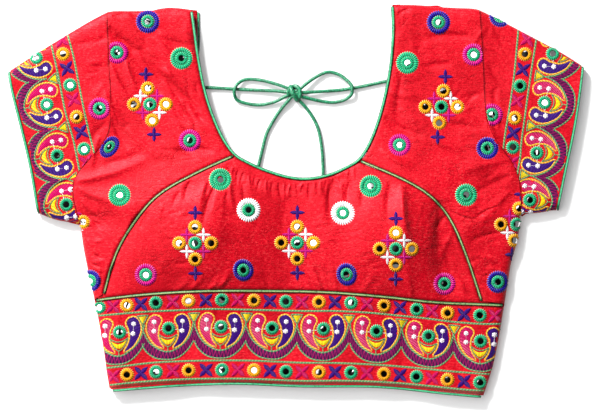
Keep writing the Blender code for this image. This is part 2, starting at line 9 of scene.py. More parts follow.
# %% Load the frame
import json
import math

import bmesh
import bpy
import numpy as np
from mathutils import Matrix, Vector, noise
from mathutils.bvhtree import BVHTree

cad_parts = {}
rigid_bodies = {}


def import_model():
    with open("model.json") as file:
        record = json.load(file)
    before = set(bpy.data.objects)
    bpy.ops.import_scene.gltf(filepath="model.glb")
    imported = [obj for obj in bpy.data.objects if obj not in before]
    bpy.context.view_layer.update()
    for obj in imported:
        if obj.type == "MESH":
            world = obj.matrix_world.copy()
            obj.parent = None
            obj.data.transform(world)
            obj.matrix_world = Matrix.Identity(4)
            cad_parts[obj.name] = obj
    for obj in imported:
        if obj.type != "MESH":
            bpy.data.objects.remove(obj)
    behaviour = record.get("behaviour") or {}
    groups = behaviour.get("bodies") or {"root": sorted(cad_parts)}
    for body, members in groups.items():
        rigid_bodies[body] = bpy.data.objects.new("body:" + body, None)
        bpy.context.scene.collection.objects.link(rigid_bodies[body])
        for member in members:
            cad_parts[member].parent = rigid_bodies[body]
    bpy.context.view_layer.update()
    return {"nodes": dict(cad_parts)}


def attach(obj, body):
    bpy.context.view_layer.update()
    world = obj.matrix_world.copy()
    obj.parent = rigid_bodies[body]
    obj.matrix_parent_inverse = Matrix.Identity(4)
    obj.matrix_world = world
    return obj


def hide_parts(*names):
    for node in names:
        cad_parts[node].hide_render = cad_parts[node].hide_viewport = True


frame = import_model()
print("CAD nodes:", len(frame["nodes"]))

# %% [markdown]
# ## The layout sheet
#
# An embroiderer plans a blouse on squared paper and pricks the pattern through it. Places below
# are given the same way: u squares from the sheet's left edge and v squares down from its top.

# %% Squares to metres
MM = 0.001
SQUARE = 0.97 * MM
SHEET_MIDDLE = (295.4, 201.4)      # the square that lies over the origin
SHEET_SIZE = (600, 416)


def metres(u, v):
    """The x and y of a place on the layout sheet."""
    return (u - SHEET_MIDDLE[0]) * SQUARE, (SHEET_MIDDLE[1] - v) * SQUARE


def in_scene(name, data):
    """A new object with this data, linked to the scene."""
    thing = bpy.data.objects.new(name, data)
    bpy.context.collection.objects.link(thing)
    return thing


print("sheet width in metres:", round(SHEET_SIZE[0] * SQUARE, 3))

# %% [markdown]
# ## Camera, floor and light
#
# Clothes are shown flat from straight above, through a long lens so that nothing leans outwards.
# One soft key light from the upper left models the folds, and a pale room fills the shadows. The
# room has a softbox on its left side, which gives the silk its sheen. Just overhead it is dark, as
# behind any camera, with a small bright window beside the dark patch. The little mirrors pick up
# one or the other, so some have dark eyes and some shine.

# %% Camera
EYE_HEIGHT = 3.0
CLOTH_LEVEL = 0.012
SENSOR = 36.0
camera_data = bpy.data.cameras.new("camera")
camera_data.sensor_width = SENSOR
camera_data.lens = SENSOR * (EYE_HEIGHT - CLOTH_LEVEL) / (SHEET_SIZE[0] * SQUARE)
camera = in_scene("camera", camera_data)
camera.location = (*metres(SHEET_SIZE[0] / 2, SHEET_SIZE[1] / 2), EYE_HEIGHT)
bpy.context.scene.camera = camera
print("lens:", round(camera_data.lens, 1), "mm")

# %% Floor
FLOOR_SIDE, FLOOR_DROP = 12, 0.0004
# the paper glows a little, as if lit from below, so that only the blouse's shadow is grey
PAPER = {"Base Color": (0.46, 0.46, 0.46, 1), "Emission Color": (1, 1, 1, 1),
         "Emission Strength": 0.28, "Roughness": 0.9, "Specular IOR Level": 0.1}
bpy.ops.object.select_all(action="DESELECT")
bpy.ops.mesh.primitive_plane_add(size=FLOOR_SIDE, location=(0, 0, -FLOOR_DROP))
floor = bpy.context.object
floor.name = "floor"
paper = bpy.data.materials.new("white_paper")
paper.use_nodes = True
for socket, value in PAPER.items():
    paper.node_tree.nodes["Principled BSDF"].inputs[socket].default_value = value
floor.data.materials.append(paper)
print("floor:", tuple(round(side, 1) for side in floor.dimensions[:2]))

# %% The key light
KEY_PLACE = Vector((-1.15, 1.80, 1.60))
KEY_WIDTH, KEY_WATTS = 0.50, 192
key_light = bpy.data.lights.new("key", "AREA")
key_light.shape = "DISK"
key_light.size = KEY_WIDTH
key_light.energy = KEY_WATTS
key = in_scene("key", key_light)
key.location = KEY_PLACE
key.rotation_mode = "QUATERNION"
key.rotation_quaternion = (-KEY_PLACE).to_track_quat("-Z", "Y")
print("key light:", KEY_WATTS, "W")

# %% The room
SOFTBOX_WAY = (-0.66, 0.22, 0.72)
DARK_WAY = (0.24, -0.18, 0.954)
WINDOW_WAY = (-0.22, 0.16, 0.962)
ROOM_LIGHT = 2.1
room = bpy.data.worlds.new("pale_room")
room.use_nodes = True
room_nodes, room_links = room.node_tree.nodes, room.node_tree.links
heading = room_nodes.new("ShaderNodeTexCoord").outputs["Generated"]


def room_patch(way, stops):
    """Grey tones by how nearly a direction points one way: 1 straight at it, 0 straight away."""
    product = room_nodes.new("ShaderNodeVectorMath")
    product.operation = "DOT_PRODUCT"
    product.inputs[1].default_value = way
    room_links.new(heading, product.inputs[0])
    share = room_nodes.new("ShaderNodeMapRange")
    share.inputs["From Min"].default_value = -1
    room_links.new(product.outputs["Value"], share.inputs["Value"])
    ramp = room_nodes.new("ShaderNodeValToRGB")
    room_links.new(share.outputs["Result"], ramp.inputs["Fac"])
    ends = ramp.color_ramp.elements
    for index, (position, tone) in enumerate(stops):
        stop = ends[index] if index < 2 else ends.new(position)
        stop.position = position
        stop.color = (tone, tone, tone, 1)
    return ramp.outputs["Color"]


def combined(how, a, b):
    blend = room_nodes.new("ShaderNodeMix")
    blend.data_type = "RGBA"
    blend.blend_type = how
    blend.inputs["Factor"].default_value = 1
    room_links.new(a, blend.inputs["A"])
    room_links.new(b, blend.inputs["B"])
    return blend.outputs["Result"]


overhead = room_patch(DARK_WAY, ((0.0, 1.0), (1.0, 0.01), (0.925, 1.0), (0.932, 0.02)))
softbox = room_patch(SOFTBOX_WAY,
                     ((0.0, 0.10), (1.0, 2.20), (0.80, 0.10), (0.86, 0.40), (0.93, 1.80)))
window = room_patch(WINDOW_WAY, ((0.0, 0.0), (1.0, 0.95), (0.985, 0.0), (0.989, 0.95)))
walls = combined("LIGHTEN", combined("MULTIPLY", softbox, overhead), window)
background = room_nodes["Background"]
room_links.new(walls, background.inputs["Color"])
background.inputs["Strength"].default_value = ROOM_LIGHT
bpy.context.scene.world = room
bpy.context.scene.view_settings.view_transform = "Standard"
print("room light:", ROOM_LIGHT)

# %% [markdown]
# ## Helpers for finishes
#
# Every finish is built from nodes. A small helper adds a node, sets its sockets and wires it up,
# which keeps each recipe short enough to read.


# %% Node helpers
class Recipe:
    """A material under construction."""

    def __init__(self, name, shown):
        self.material = bpy.data.materials.new(name)
        self.material.use_nodes = True
        self.material.diffuse_color = (*shown, 1)
        self.nodes = self.material.node_tree.nodes
        self.links = self.material.node_tree.links
        self.shader = self.nodes["Principled BSDF"]

    def add(self, kind, settings=None, **sockets):
        node = self.nodes.new("ShaderNode" + kind)
        for key, value in (settings or {}).items():
            setattr(node, key, value)
        for key, value in sockets.items():
            self.feed(node.inputs[key.replace("_", " ")], value)
        return node

    def feed(self, socket, value):
        """Wire another node's socket in, or set a constant."""
        if isinstance(value, bpy.types.NodeSocket):
            self.links.new(value, socket)
        else:
            socket.default_value = value

    def place(self):
        """Where a point lies on the object."""
        return self.add("TexCoord").outputs["Object"]

    def strip_place(self):
        """Where a point lies on a sewn strip: along it, and across it."""
        uv = self.add("UVMap", {"uv_map": "UVMap"}).outputs["UV"]
        split = self.add("SeparateXYZ", Vector=uv)
        return split.outputs["X"], split.outputs["Y"]

    def math(self, operation, a, b=0.0):
        node = self.add("Math", {"operation": operation})
        self.feed(node.inputs[0], a)
        self.feed(node.inputs[1], b)
        return node.outputs[0]

    def plus(self, a, b):
        return self.math("ADD", a, b)

    def times(self, a, b):
        return self.math("MULTIPLY", a, b)

    def apart(self, a, b):
        """How far two values are apart."""
        return self.math("ABSOLUTE", self.math("SUBTRACT", a, b))

    def ribs(self, count):
        """Rounded ridges, one for each whole number."""
        return self.math("ABSOLUTE", self.math("SINE", self.times(count, math.pi)))

    def mix(self, share, a, b):
        """a where share is 0, b where it is 1."""
        node = self.add("Mix", {"data_type": "RGBA"})
        self.feed(node.inputs["Factor"], share)
        self.feed(node.inputs["A"], (*a, 1) if isinstance(a, tuple) else a)
        self.feed(node.inputs["B"], (*b, 1) if isinstance(b, tuple) else b)
        return node.outputs["Result"]

    def ramp(self, value, low, high, low_value=0.0, high_value=1.0):
        """A soft step from low_value to high_value, as value goes from low to high."""
        node = self.add("MapRange", {"interpolation_type": "SMOOTHSTEP"})
        self.feed(node.inputs["Value"], value)
        for key, number in (("From Min", low), ("From Max", high),
                            ("To Min", low_value), ("To Max", high_value)):
            node.inputs[key].default_value = number
        return node.outputs["Result"]

    def stretched(self, vector, scale, turn=0.0):
        node = self.add("Mapping", Vector=vector)
        node.inputs["Scale"].default_value = scale
        node.inputs["Rotation"].default_value = (0, 0, turn)
        return node.outputs["Vector"]

    def noise(self, vector, scale, detail=2.0, roughness=0.5):
        return self.add("TexNoise", Vector=vector, Scale=scale, Detail=detail,
                        Roughness=roughness).outputs["Fac"]

    def threads(self, vector, scale, detail=2.0, roughness=0.5, turn=0.0):
        """Noise drawn out along one direction, as threads are."""
        return self.noise(self.stretched(vector, scale, turn), 1.0, detail, roughness)

    def bump(self, height, distance, strength):
        node = self.add("Bump", Height=height, Distance=distance, Strength=strength)
        return node.outputs["Normal"]

    def surface(self, **sockets):
        for key, value in sockets.items():
            name = key.replace("_", " ")
            self.feed(self.shader.inputs[name],
                      (*value, 1) if isinstance(value, tuple) else value)
        return self.material


def dimmed(colour, share):
    return tuple(share * c for c in colour)


print("recipe helper ready")

# %% [markdown]
# ## Raw silk
#
# Raw silk is woven from uneven, reeled thread. Its surface has fine ribs, random thick threads
# called slubs that run along the weft, a soft sheen, and small differences in how deep the dye
# took. The ribs and slubs are too fine to model, so they are noise stretched along the threads.


# %% Red raw silk
# the silk's colour takes painted shade in the seams from this value
SEAM_SHADE = "seam"       # a value at each vertex of the cloth: 1 in a seam, 0 away from it


def raw_silk(name, deep, bright, slub, painted_sheen):
    silk = Recipe(name, bright)
    place = silk.place()
    weft = silk.threads(place, (330, 1150, 300), 3.0, 0.6)
    warp = silk.threads(place, (1150, 420, 300))
    slubs = silk.ramp(silk.threads(place, (30, 420, 60)), 0.58, 0.72)
    cloud = silk.noise(place, 22.0, 3.0, 0.55)
    tone = silk.mix(silk.ramp(cloud, 0.3, 0.7), deep, bright)
    tone = silk.mix(silk.times(slubs, 0.30), tone, slub)
    tone = silk.mix(silk.ramp(weft, 0.38, 0.66, 0.0, 0.60), tone, slub)
    tone = silk.mix(silk.ramp(warp, 0.40, 0.66, 0.0, 0.60), tone, deep)
    # painted sheen: pale flecks that stand in for short lengths of yarn catching the light
    painted_sheen_flecks = silk.ramp(silk.threads(place, (330, 720, 260), 2.0, 0.6), 0.50, 0.70, 0.0, 0.62)
    tone = silk.mix(silk.times(painted_sheen_flecks, silk.ramp(cloud, 0.35, 0.62, 0.25, 1.0)), tone, painted_sheen)
    # hairline creases: thin lines where a broken, warped noise crosses its middle value; they dent the
    # surface and carry painted shade
    drift = silk.add("TexNoise", Vector=place, Scale=34.0, Detail=2.0)
    bent = silk.add("VectorMath", {"operation": "MULTIPLY_ADD"})
    silk.feed(bent.inputs[0], drift.outputs["Color"])
    bent.inputs[1].default_value = (0.016, 0.016, 0.016)
    silk.feed(bent.inputs[2], place)
    bent = bent.outputs["Vector"]
    crease_dent_and_shade = silk.ramp(silk.apart(silk.threads(bent, (70, 150, 90)), 0.5), 0.0, 0.034, 1.0, 0.0)
    crease_dent_and_shade = silk.times(crease_dent_and_shade, silk.ramp(silk.noise(place, 55.0, 3.0, 0.6), 0.50, 0.64))
    # crumples: longer, sharper ones that lean over to the right as they run down
    leaning = silk.threads(bent, (24, 92, 50), turn=0.75)
    sharp = silk.ramp(silk.apart(leaning, 0.5), 0.0, 0.045, 0.8, 0.0)
    sharp = silk.times(sharp, silk.ramp(silk.noise(place, 19.0), 0.50, 0.68))
    crease_dent_and_shade = silk.math("MAXIMUM", crease_dent_and_shade, sharp)
    # painted shade: the silk is darkened along the creases and crumples
    tone = silk.mix(silk.times(crease_dent_and_shade, 0.36), tone, dimmed(deep, 0.5))
    # painted shade: the silk is darkened in its seams, along the piping and round the armholes
    seam = silk.add("Attribute", {"attribute_name": SEAM_SHADE}).outputs["Fac"]
    tone = silk.mix(silk.times(seam, 0.8), tone, dimmed(deep, 0.12))
    height = silk.plus(silk.times(weft, 0.5), silk.times(warp, 0.5))
    height = silk.plus(height, silk.times(slubs, 0.25))
    height = silk.math("SUBTRACT", height, silk.times(crease_dent_and_shade, 0.6))
    return silk.surface(
        Base_Color=tone, Roughness=silk.ramp(weft, 0.3, 0.7, 0.38, 0.52),
        Normal=silk.bump(height, 0.0005, 0.7), Specular_IOR_Level=0.60,
        Specular_Tint=(1.0, 0.11, 0.13))


RED_SILK = raw_silk("red_raw_silk", (0.21, 0.0003, 0.003), (0.35, 0.0008, 0.007),
                    (0.48, 0.0040, 0.013), (0.52, 0.0290, 0.034))
print("material:", RED_SILK.name)

# %% [markdown]
# ## Threads
#
# Embroidery thread is glossy rayon. Each stitch is a narrow ridge. Thousands of modelled stitches
# would be too many, so the finish has fine stripes across the strip that was sewn. They are read
# from the piece's own UV map: the first coordinate counts stitches along the strip, and the second
# goes from one edge of the strip to the other. So the stripes follow every bend.


# %% Thread
def thread(name, deep, bright, pale=None, slant=0.0, tip_highlight=0.0, edge_shade=0.5):
    """Stitches side by side. pale is a second thread. The last two say how strong the painted highlight
    on the outer ends of the stitches is, and how dark the painted shade along both edges of the strip."""
    sewn = Recipe(name, bright)
    along, across = sewn.strip_place()
    count = sewn.plus(along, sewn.times(across, slant))
    ridge = sewn.ribs(count)
    # painted shade between the stitches and painted highlight on them: the thread goes from its deep to
    # its bright colour over each ridge, which also makes the bump
    tone = sewn.mix(sewn.ramp(ridge, 0.10, 0.80), deep, bright)
    if pale:
        other = sewn.math("SINE", sewn.times(count, math.pi))
        tone = sewn.mix(sewn.ramp(other, -0.15, 0.15), tone, pale)
    uneven = sewn.noise(sewn.place(), 900.0, 2.0, 0.6)
    tone = sewn.mix(sewn.ramp(uneven, 0.25, 0.75, 0.0, 0.3), tone, deep)
    # painted shade along both edges of the strip
    shade = sewn.times(sewn.ramp(sewn.apart(across, 0.5), 0.34, 0.50), edge_shade)
    tone = sewn.mix(shade, tone, dimmed(deep, 0.35))
    # painted highlight on the outer ends of the stitches
    if tip_highlight:
        end = sewn.times(sewn.ramp(across, 0.80, 0.95), sewn.ramp(ridge, 0.30, 0.70))
        lit = tuple(min(0.7, 0.20 + 1.3 * c) for c in bright)
        tone = sewn.mix(sewn.times(end, tip_highlight), tone, lit)
    return sewn.surface(
        Base_Color=tone, Roughness=sewn.ramp(uneven, 0.3, 0.7, 0.30, 0.42),
        Normal=sewn.bump(ridge, 0.0006, 0.8), Specular_IOR_Level=0.15)


def zigzag(name, deep, bright, line, pitch):
    """A filled band with a zigzag of another thread running along it."""
    sewn = Recipe(name, bright)
    along, across = sewn.strip_place()
    off = sewn.apart(sewn.times(sewn.math("PINGPONG", along, pitch), 1 / pitch), across)
    uneven = sewn.noise(sewn.place(), 1100.0, 2.0, 0.6)
    ridge = sewn.ribs(sewn.times(along, 2))
    # painted shade between the stitches and painted highlight on them: the band goes from its deep to
    # its bright colour over each ridge, which also makes the bump
    tone = sewn.mix(sewn.ramp(ridge, 0.1, 0.8), deep, bright)
    tone = sewn.mix(sewn.ramp(off, 0.10, 0.26, 1.0, 0.0), tone, line)
    tone = sewn.mix(sewn.ramp(uneven, 0.35, 0.7, 0.0, 0.45), tone, deep)
    height = sewn.plus(ridge, sewn.ramp(off, 0.1, 0.4, 1.0, 0.0))
    return sewn.surface(Base_Color=tone, Roughness=0.42, Specular_IOR_Level=0.10,
                        Normal=sewn.bump(height, 0.00035, 0.6))


THREAD = {
    "green": thread("green_thread", (0.0006, 0.040, 0.020), (0.010, 0.32, 0.14), tip_highlight=0.55,
                    edge_shade=0.75),
    "yellow": thread("yellow_thread", (0.30, 0.075, 0.0006), (0.60, 0.29, 0.002), tip_highlight=0.6,
                     edge_shade=0.7),
    "pink": thread("pink_thread", (0.17, 0.0005, 0.044), (0.40, 0.001, 0.150), tip_highlight=0.12,
                   edge_shade=0.7),
    "rose": thread("rose_thread", (0.15, 0.0004, 0.016), (0.41, 0.001, 0.080), edge_shade=0.7),
    "blue": thread("blue_thread", (0.002, 0.0006, 0.042), (0.010, 0.002, 0.19), tip_highlight=0.4,
                   edge_shade=0.7),
    "violet": thread("violet_thread", (0.006, 0.0008, 0.026), (0.034, 0.003, 0.145), edge_shade=0.7),
    "white": thread("white_thread", (0.26, 0.22, 0.24), (0.64, 0.61, 0.63), tip_highlight=0.3, edge_shade=0.2),
    "orange": thread("orange_thread", (0.34, 0.070, 0.002), (0.56, 0.23, 0.008),
                     pale=(0.62, 0.42, 0.06), slant=1.0, edge_shade=0.35),
    "gold": thread("gold_thread", (0.30, 0.20, 0.0006), (0.58, 0.50, 0.004)),
    "line": thread("border_line_thread", (0.006, 0.085, 0.032), (0.028, 0.19, 0.072),
                   pale=(0.19, 0.27, 0.12), slant=1.0, edge_shade=0.90),
    "swag": zigzag("purple_swag", (0.007, 0.0003, 0.014), (0.042, 0.0008, 0.045),
                   (0.27, 0.002, 0.070), 1.2),
    "hem_zigzag": zigzag("hem_zigzag", (0.055, 0.001, 0.003), (0.21, 0.003, 0.008),
                         (0.060, 0.035, 0.010), 1.8),
}
print("threads:", ", ".join(THREAD))

# %% [markdown]
# ## Satin and mirror
#
# The piping and the tie cord are green satin, cut on the bias and creased where it was turned.
# The creases are drawn-out noise. A piping has a painted highlight along its crest, which is found from
# the way the surface faces, so it needs no map. The mirrors are cut by hand from thin blown
# glass. They are a metal finish with a slow wave in it, since a flat one would all look alike.


# %% Satin and mirror
def satin(name, deep, bright, painted_highlight):
    """Bias-cut satin sewn into a tube: soft creases across it, with painted shade in their hollows and
    a painted highlight along their crests.
    """
    cloth = Recipe(name, bright)
    along, round_it = cloth.strip_place()
    spot = cloth.add("CombineXYZ", X=along, Y=cloth.times(round_it, 3.0)).outputs[0]
    creases = cloth.threads(spot, (0.55, 1.2, 1.0), 3.0, 0.6, 0.5)
    # painted shade in the hollows of the creases, which also dent the bump, and a painted highlight on
    # their crests
    tone = cloth.mix(cloth.ramp(creases, 0.32, 0.62), deep, bright)
    tone = cloth.mix(cloth.ramp(creases, 0.58, 0.78, 0.0, 0.7), tone, painted_highlight)
    return cloth.surface(
        Base_Color=tone, Roughness=0.34, Normal=cloth.bump(creases, 0.0006, 0.8),
        Specular_IOR_Level=0.45, Sheen_Weight=0.05, Sheen_Roughness=0.35)


def piping_satin(name, deep, bright, painted_highlight):
    """The same satin over a hard cord, with a painted highlight along its upward-facing crest and
    painted shade on its feet.
    """
    cloth = Recipe(name, bright)
    looks_up = cloth.add("TexCoord").outputs["Normal"]
    crest = cloth.add("SeparateXYZ", Vector=looks_up).outputs["Z"]
    creases = cloth.noise(cloth.place(), 520.0, 3.0, 0.6)
    # painted shade in the hollows of the creases and a lighter colour on their tops
    tone = cloth.mix(cloth.ramp(creases, 0.32, 0.62), deep, bright)
    # painted highlight: the crest, where the surface faces up, is painted pale
    wear_and_painted_highlight = cloth.times(cloth.ramp(crest, 0.86, 0.99), cloth.ramp(creases, 0.24, 0.50))
    tone = cloth.mix(wear_and_painted_highlight, tone, painted_highlight)
    # painted shade: the sides that face away from up are painted darker
    tone = cloth.mix(cloth.ramp(crest, 0.35, 0.80, 0.9, 0.0), tone, dimmed(deep, 0.3))
    return cloth.surface(Base_Color=tone, Roughness=0.36, Specular_IOR_Level=0.35,
                         Normal=cloth.bump(creases, 0.0006, 0.8))


def mirror_glass(name):
    """Hand-cut mirror: silvered glass, a little wavy and tarnished."""
    glass = Recipe(name, (0.8, 0.8, 0.8))
    place = glass.place()
    wave = glass.noise(place, 190.0, 0.0, 0.4)
    stain = glass.ramp(glass.noise(place, 420.0, 3.0, 0.6), 0.45, 0.8)
    tone = glass.mix(glass.times(stain, 0.5), (0.86, 0.87, 0.88), (0.50, 0.50, 0.51))
    return glass.surface(Base_Color=tone, Metallic=1.0,
                         Roughness=glass.ramp(stain, 0.0, 1.0, 0.03, 0.10),
                         Normal=glass.bump(wave, 0.0009, 0.35))


GREEN_SATIN = satin("green_satin", (0.001, 0.038, 0.016), (0.010, 0.17, 0.075),
                    (0.090, 0.40, 0.22))
GREEN_PIPING = piping_satin("green_piping_satin", (0.001, 0.055, 0.024), (0.010, 0.19, 0.080),
                            (0.035, 0.27, 0.12))
OLIVE_PIPING = piping_satin("olive_piping_satin", (0.002, 0.030, 0.010), (0.022, 0.14, 0.050),
                            (0.18, 0.24, 0.09))
MIRROR = mirror_glass("cut_mirror")
print("materials:", GREEN_SATIN.name, GREEN_PIPING.name, OLIVE_PIPING.name, MIRROR.name)

# %% [markdown]
# ## Grids that take a shape
#
# Cords, pipings and strips of embroidery are all made the same way. A grid primitive has rows and
# columns of vertices, and they are moved to where the form's own formula puts them. The grid
# brings a UV map, which is stretched here so that its first coordinate counts stitches.


# %% Mesh helpers
MERGED = 1e-6              # vertices nearer than this are one


def coordinates(mesh):
    flat = np.empty(len(mesh.vertices) * 3)
    mesh.vertices.foreach_get("co", flat)
    return flat.reshape(-1, 3)


def move_vertices(mesh, places):
    mesh.vertices.foreach_set("co", np.ascontiguousarray(places).ravel())
    mesh.update()


def only(piece):
    """Select this piece and nothing else."""
    bpy.ops.object.select_all(action="DESELECT")
    piece.select_set(True)
    bpy.context.view_layer.objects.active = piece


def applied(piece, modifier):
    only(piece)
    bpy.ops.object.modifier_apply(modifier=modifier.name)
    return piece


print("mesh helpers ready")


# %% A grid that takes a shape
def shaped_grid(name, points, counts, closed=False):
    """points[i, j] are the vertices, and counts[i] the first UV coordinate of row i."""
    rows, columns = points.shape[:2]
    bpy.ops.object.select_all(action="DESELECT")
    bpy.ops.mesh.primitive_grid_add(x_subdivisions=rows - 1, y_subdivisions=columns - 1, size=1)
    piece = bpy.context.object
    piece.name = name
    mesh = piece.data
    mesh.name = name
    flat = coordinates(mesh)
    row = np.rint((flat[:, 0] + 0.5) * (rows - 1)).astype(int)
    column = np.rint((flat[:, 1] + 0.5) * (columns - 1)).astype(int)
    move_vertices(mesh, points[row, column])
    uv = np.empty(len(mesh.loops) * 2)
    mesh.uv_layers[0].data.foreach_get("uv", uv)
    uv = uv.reshape(-1, 2)
    uv[:, 0] = np.asarray(counts)[np.rint(uv[:, 0] * (rows - 1)).astype(int)]
    mesh.uv_layers[0].data.foreach_set("uv", uv.ravel())
    mesh.uv_layers[0].name = "UVMap"
    if closed:
        bpy.ops.object.mode_set(mode="EDIT")
        bpy.ops.mesh.select_all(action="SELECT")
        bpy.ops.mesh.remove_doubles(threshold=MERGED)
        bpy.ops.mesh.normals_make_consistent(inside=False)
        bpy.ops.object.mode_set(mode="OBJECT")
    mesh.shade_smooth()
    return piece


print("shaped grids ready")

# %% Lines through points
PER_SPAN = 8               # points of a smooth curve from one given point to the next


def smooth(points, per_span=PER_SPAN):
    """A Catmull-Rom curve through the given points, in their own units."""
    p = np.array(points, dtype=float)
    p = np.vstack([2 * p[0] - p[1], p, 2 * p[-1] - p[-2]])
    out = []
    for a, b, c, d in zip(p, p[1:], p[2:], p[3:]):
        for s in np.linspace(0, 1, per_span, endpoint=False):
            out.append(0.5 * (2 * b + (c - a) * s + (2 * a - 5 * b + 4 * c - d) * s ** 2
                              + (3 * b - a - 3 * c + d) * s ** 3))
    return np.array(out + [p[-2]])


def directions(line):
    """The unit vector ahead at each point of a line."""
    ahead = np.gradient(line, axis=0)
    if np.allclose(line[0], line[-1]):
        ahead[0] = ahead[-1] = line[1] - line[-2]
    return ahead / np.linalg.norm(ahead, axis=1)[:, None]


def run_lengths(line):
    """How far along the line each of its points is."""
    steps = np.linalg.norm(np.diff(line, axis=0), axis=1)
    return np.concatenate([[0.0], np.cumsum(steps)])


def evenly(line, count):
    """The line again, as count + 1 points at an even spacing."""
    run = run_lengths(line)
    even = np.linspace(0, run[-1], count + 1)
    return np.column_stack([np.interp(even, run, line[:, k]) for k in range(line.shape[1])])


print("points in each span of a line:", PER_SPAN)

# %% [markdown]
# ## The tie cord
#
# The dori is a narrow satin tube, turned right side out, that ties the deep back neck shut. It
# leaves the neck edge on each side, and its bow lies on the table in the neck opening. Its two
# tails slip under the front. It is limp, so every stretch lies down on the table, and rises only
# to the knot or where one strand crosses another.

# %% A satin tube
TUBE_SIDES = 14
END_ANGLES = (90, 60, 30)          # the rounded end of a tube, in degrees
FLATTENED, UNEVENNESS = 0.93, 0.06


def tube(name, line, radius, closed=False):
    """A limp tube along points in metres, a little flattened and uneven."""
    ahead = directions(line)
    centres, radii, forward = list(line), [radius] * len(line), list(ahead)
    if not closed:
        for angle in END_ANGLES[::-1]:
            reach, shrunk = math.sin(math.radians(angle)), math.cos(math.radians(angle))
            centres = [line[0] - ahead[0] * radius * reach, *centres,
                       line[-1] + ahead[-1] * radius * reach]
            radii = [radius * shrunk, *radii, radius * shrunk]
            forward = [ahead[0], *forward, ahead[-1]]
    up = np.array([0.0, 0.0, 1.0])
    if abs(forward[0][2]) > 0.9:
        up = np.array([1.0, 0.0, 0.0])
    turns = np.linspace(0, 2 * math.pi, TUBE_SIDES + 1)
    points = np.empty((len(centres), TUBE_SIDES + 1, 3))
    for i, (centre, ring_radius, way) in enumerate(zip(centres, radii, forward)):
        up = up - way * np.dot(up, way)
        up /= np.linalg.norm(up)
        side = np.cross(way, up)
        for j, turn in enumerate(turns[:-1]):
            spoke = side * math.cos(turn) + up * math.sin(turn) * FLATTENED
            place = centre + spoke * ring_radius
            swell = 1 + UNEVENNESS * noise.noise(Vector(place) * 420)
            points[i, j] = centre + spoke * ring_radius * swell
        points[i, -1] = points[i, 0]
    if closed:
        points[-1] = points[0]
    return shaped_grid(name, points, run_lengths(np.array(centres)) / MM, closed=True)


print("tube sides:", TUBE_SIDES)

# %% Routes of the tie cord, in millimetres
DORI_DIAMETER = 3.3 * MM
DORI_STEP = 0.8 * MM
ROUTES = {
    "dori_left_span": [(-96.6, 109.6, 2.2), (-87, 110.8, 1.9), (-73, 110.2, 1.8),
                       (-60, 109.4, 1.8), (-46, 108.6, 2.0), (-32, 108.1, 2.8),
                       (-20, 107.4, 3.8), (-8.8, 106.2, 4.9)],
    "dori_right_span": [(98.5, 118.4, 2.2), (88, 116.8, 1.9), (72, 113.4, 1.8),
                        (56, 110.2, 1.8), (44, 108.4, 2.0), (32, 107.4, 2.8),
                        (20, 106.6, 3.8), (6.1, 105.7, 4.9)],
    "dori_left_loop": [(-6.6, 109.5, 5.7), (-16, 113.2, 5.0), (-30, 117.2, 3.6),
                       (-43, 119.0, 2.6), (-51, 117.8, 3.0), (-56.6, 113.8, 4.8),
                       (-59.0, 109.2, 5.6), (-59.2, 104.2, 4.6), (-56.6, 98.6, 2.4),
                       (-47, 95.2, 1.8), (-34, 94.0, 2.0), (-20, 97.0, 3.2),
                       (-9.5, 102.3, 4.7)],
    "dori_right_loop": [(3.9, 108.9, 5.6), (12, 115.6, 4.8), (21, 121.6, 3.4),
                        (31, 125.8, 2.4), (41, 124.0, 2.4), (49, 118.8, 3.6),
                        (54.4, 113.0, 5.2), (55.4, 108.6, 5.6), (54.0, 103.4, 4.4),
                        (47.6, 98.8, 2.4), (37, 96.4, 1.8), (26, 97.4, 2.2),
                        (16, 99.4, 3.4), (6.4, 101.8, 4.7)],
    "dori_left_tail": [(-6.1, 98.8, 4.1), (-14.6, 89, 2.4), (-22.4, 77, 1.8), (-28.4, 65, 1.8),
                       (-32, 51, 1.8), (-35.6, 36, 1.8), (-40, 20, 1.8), (-45, 3, 1.8)],
    "dori_right_tail": [(3.2, 98.8, 4.1), (11, 90.4, 2.4), (18, 80, 1.8), (22.6, 69, 1.8),
                        (25.2, 55, 1.8), (26.6, 40, 1.8), (26.8, 24, 1.8), (24, 6, 1.8),
                        (20, -10, 1.8)],
}
LINES_OF_CORD = {}
for name, route in ROUTES.items():
    line = smooth(np.array(route) * MM)
    LINES_OF_CORD[name] = evenly(line, round(run_lengths(line)[-1] / DORI_STEP))
    print(name, round(run_lengths(line)[-1] / MM), "mm")

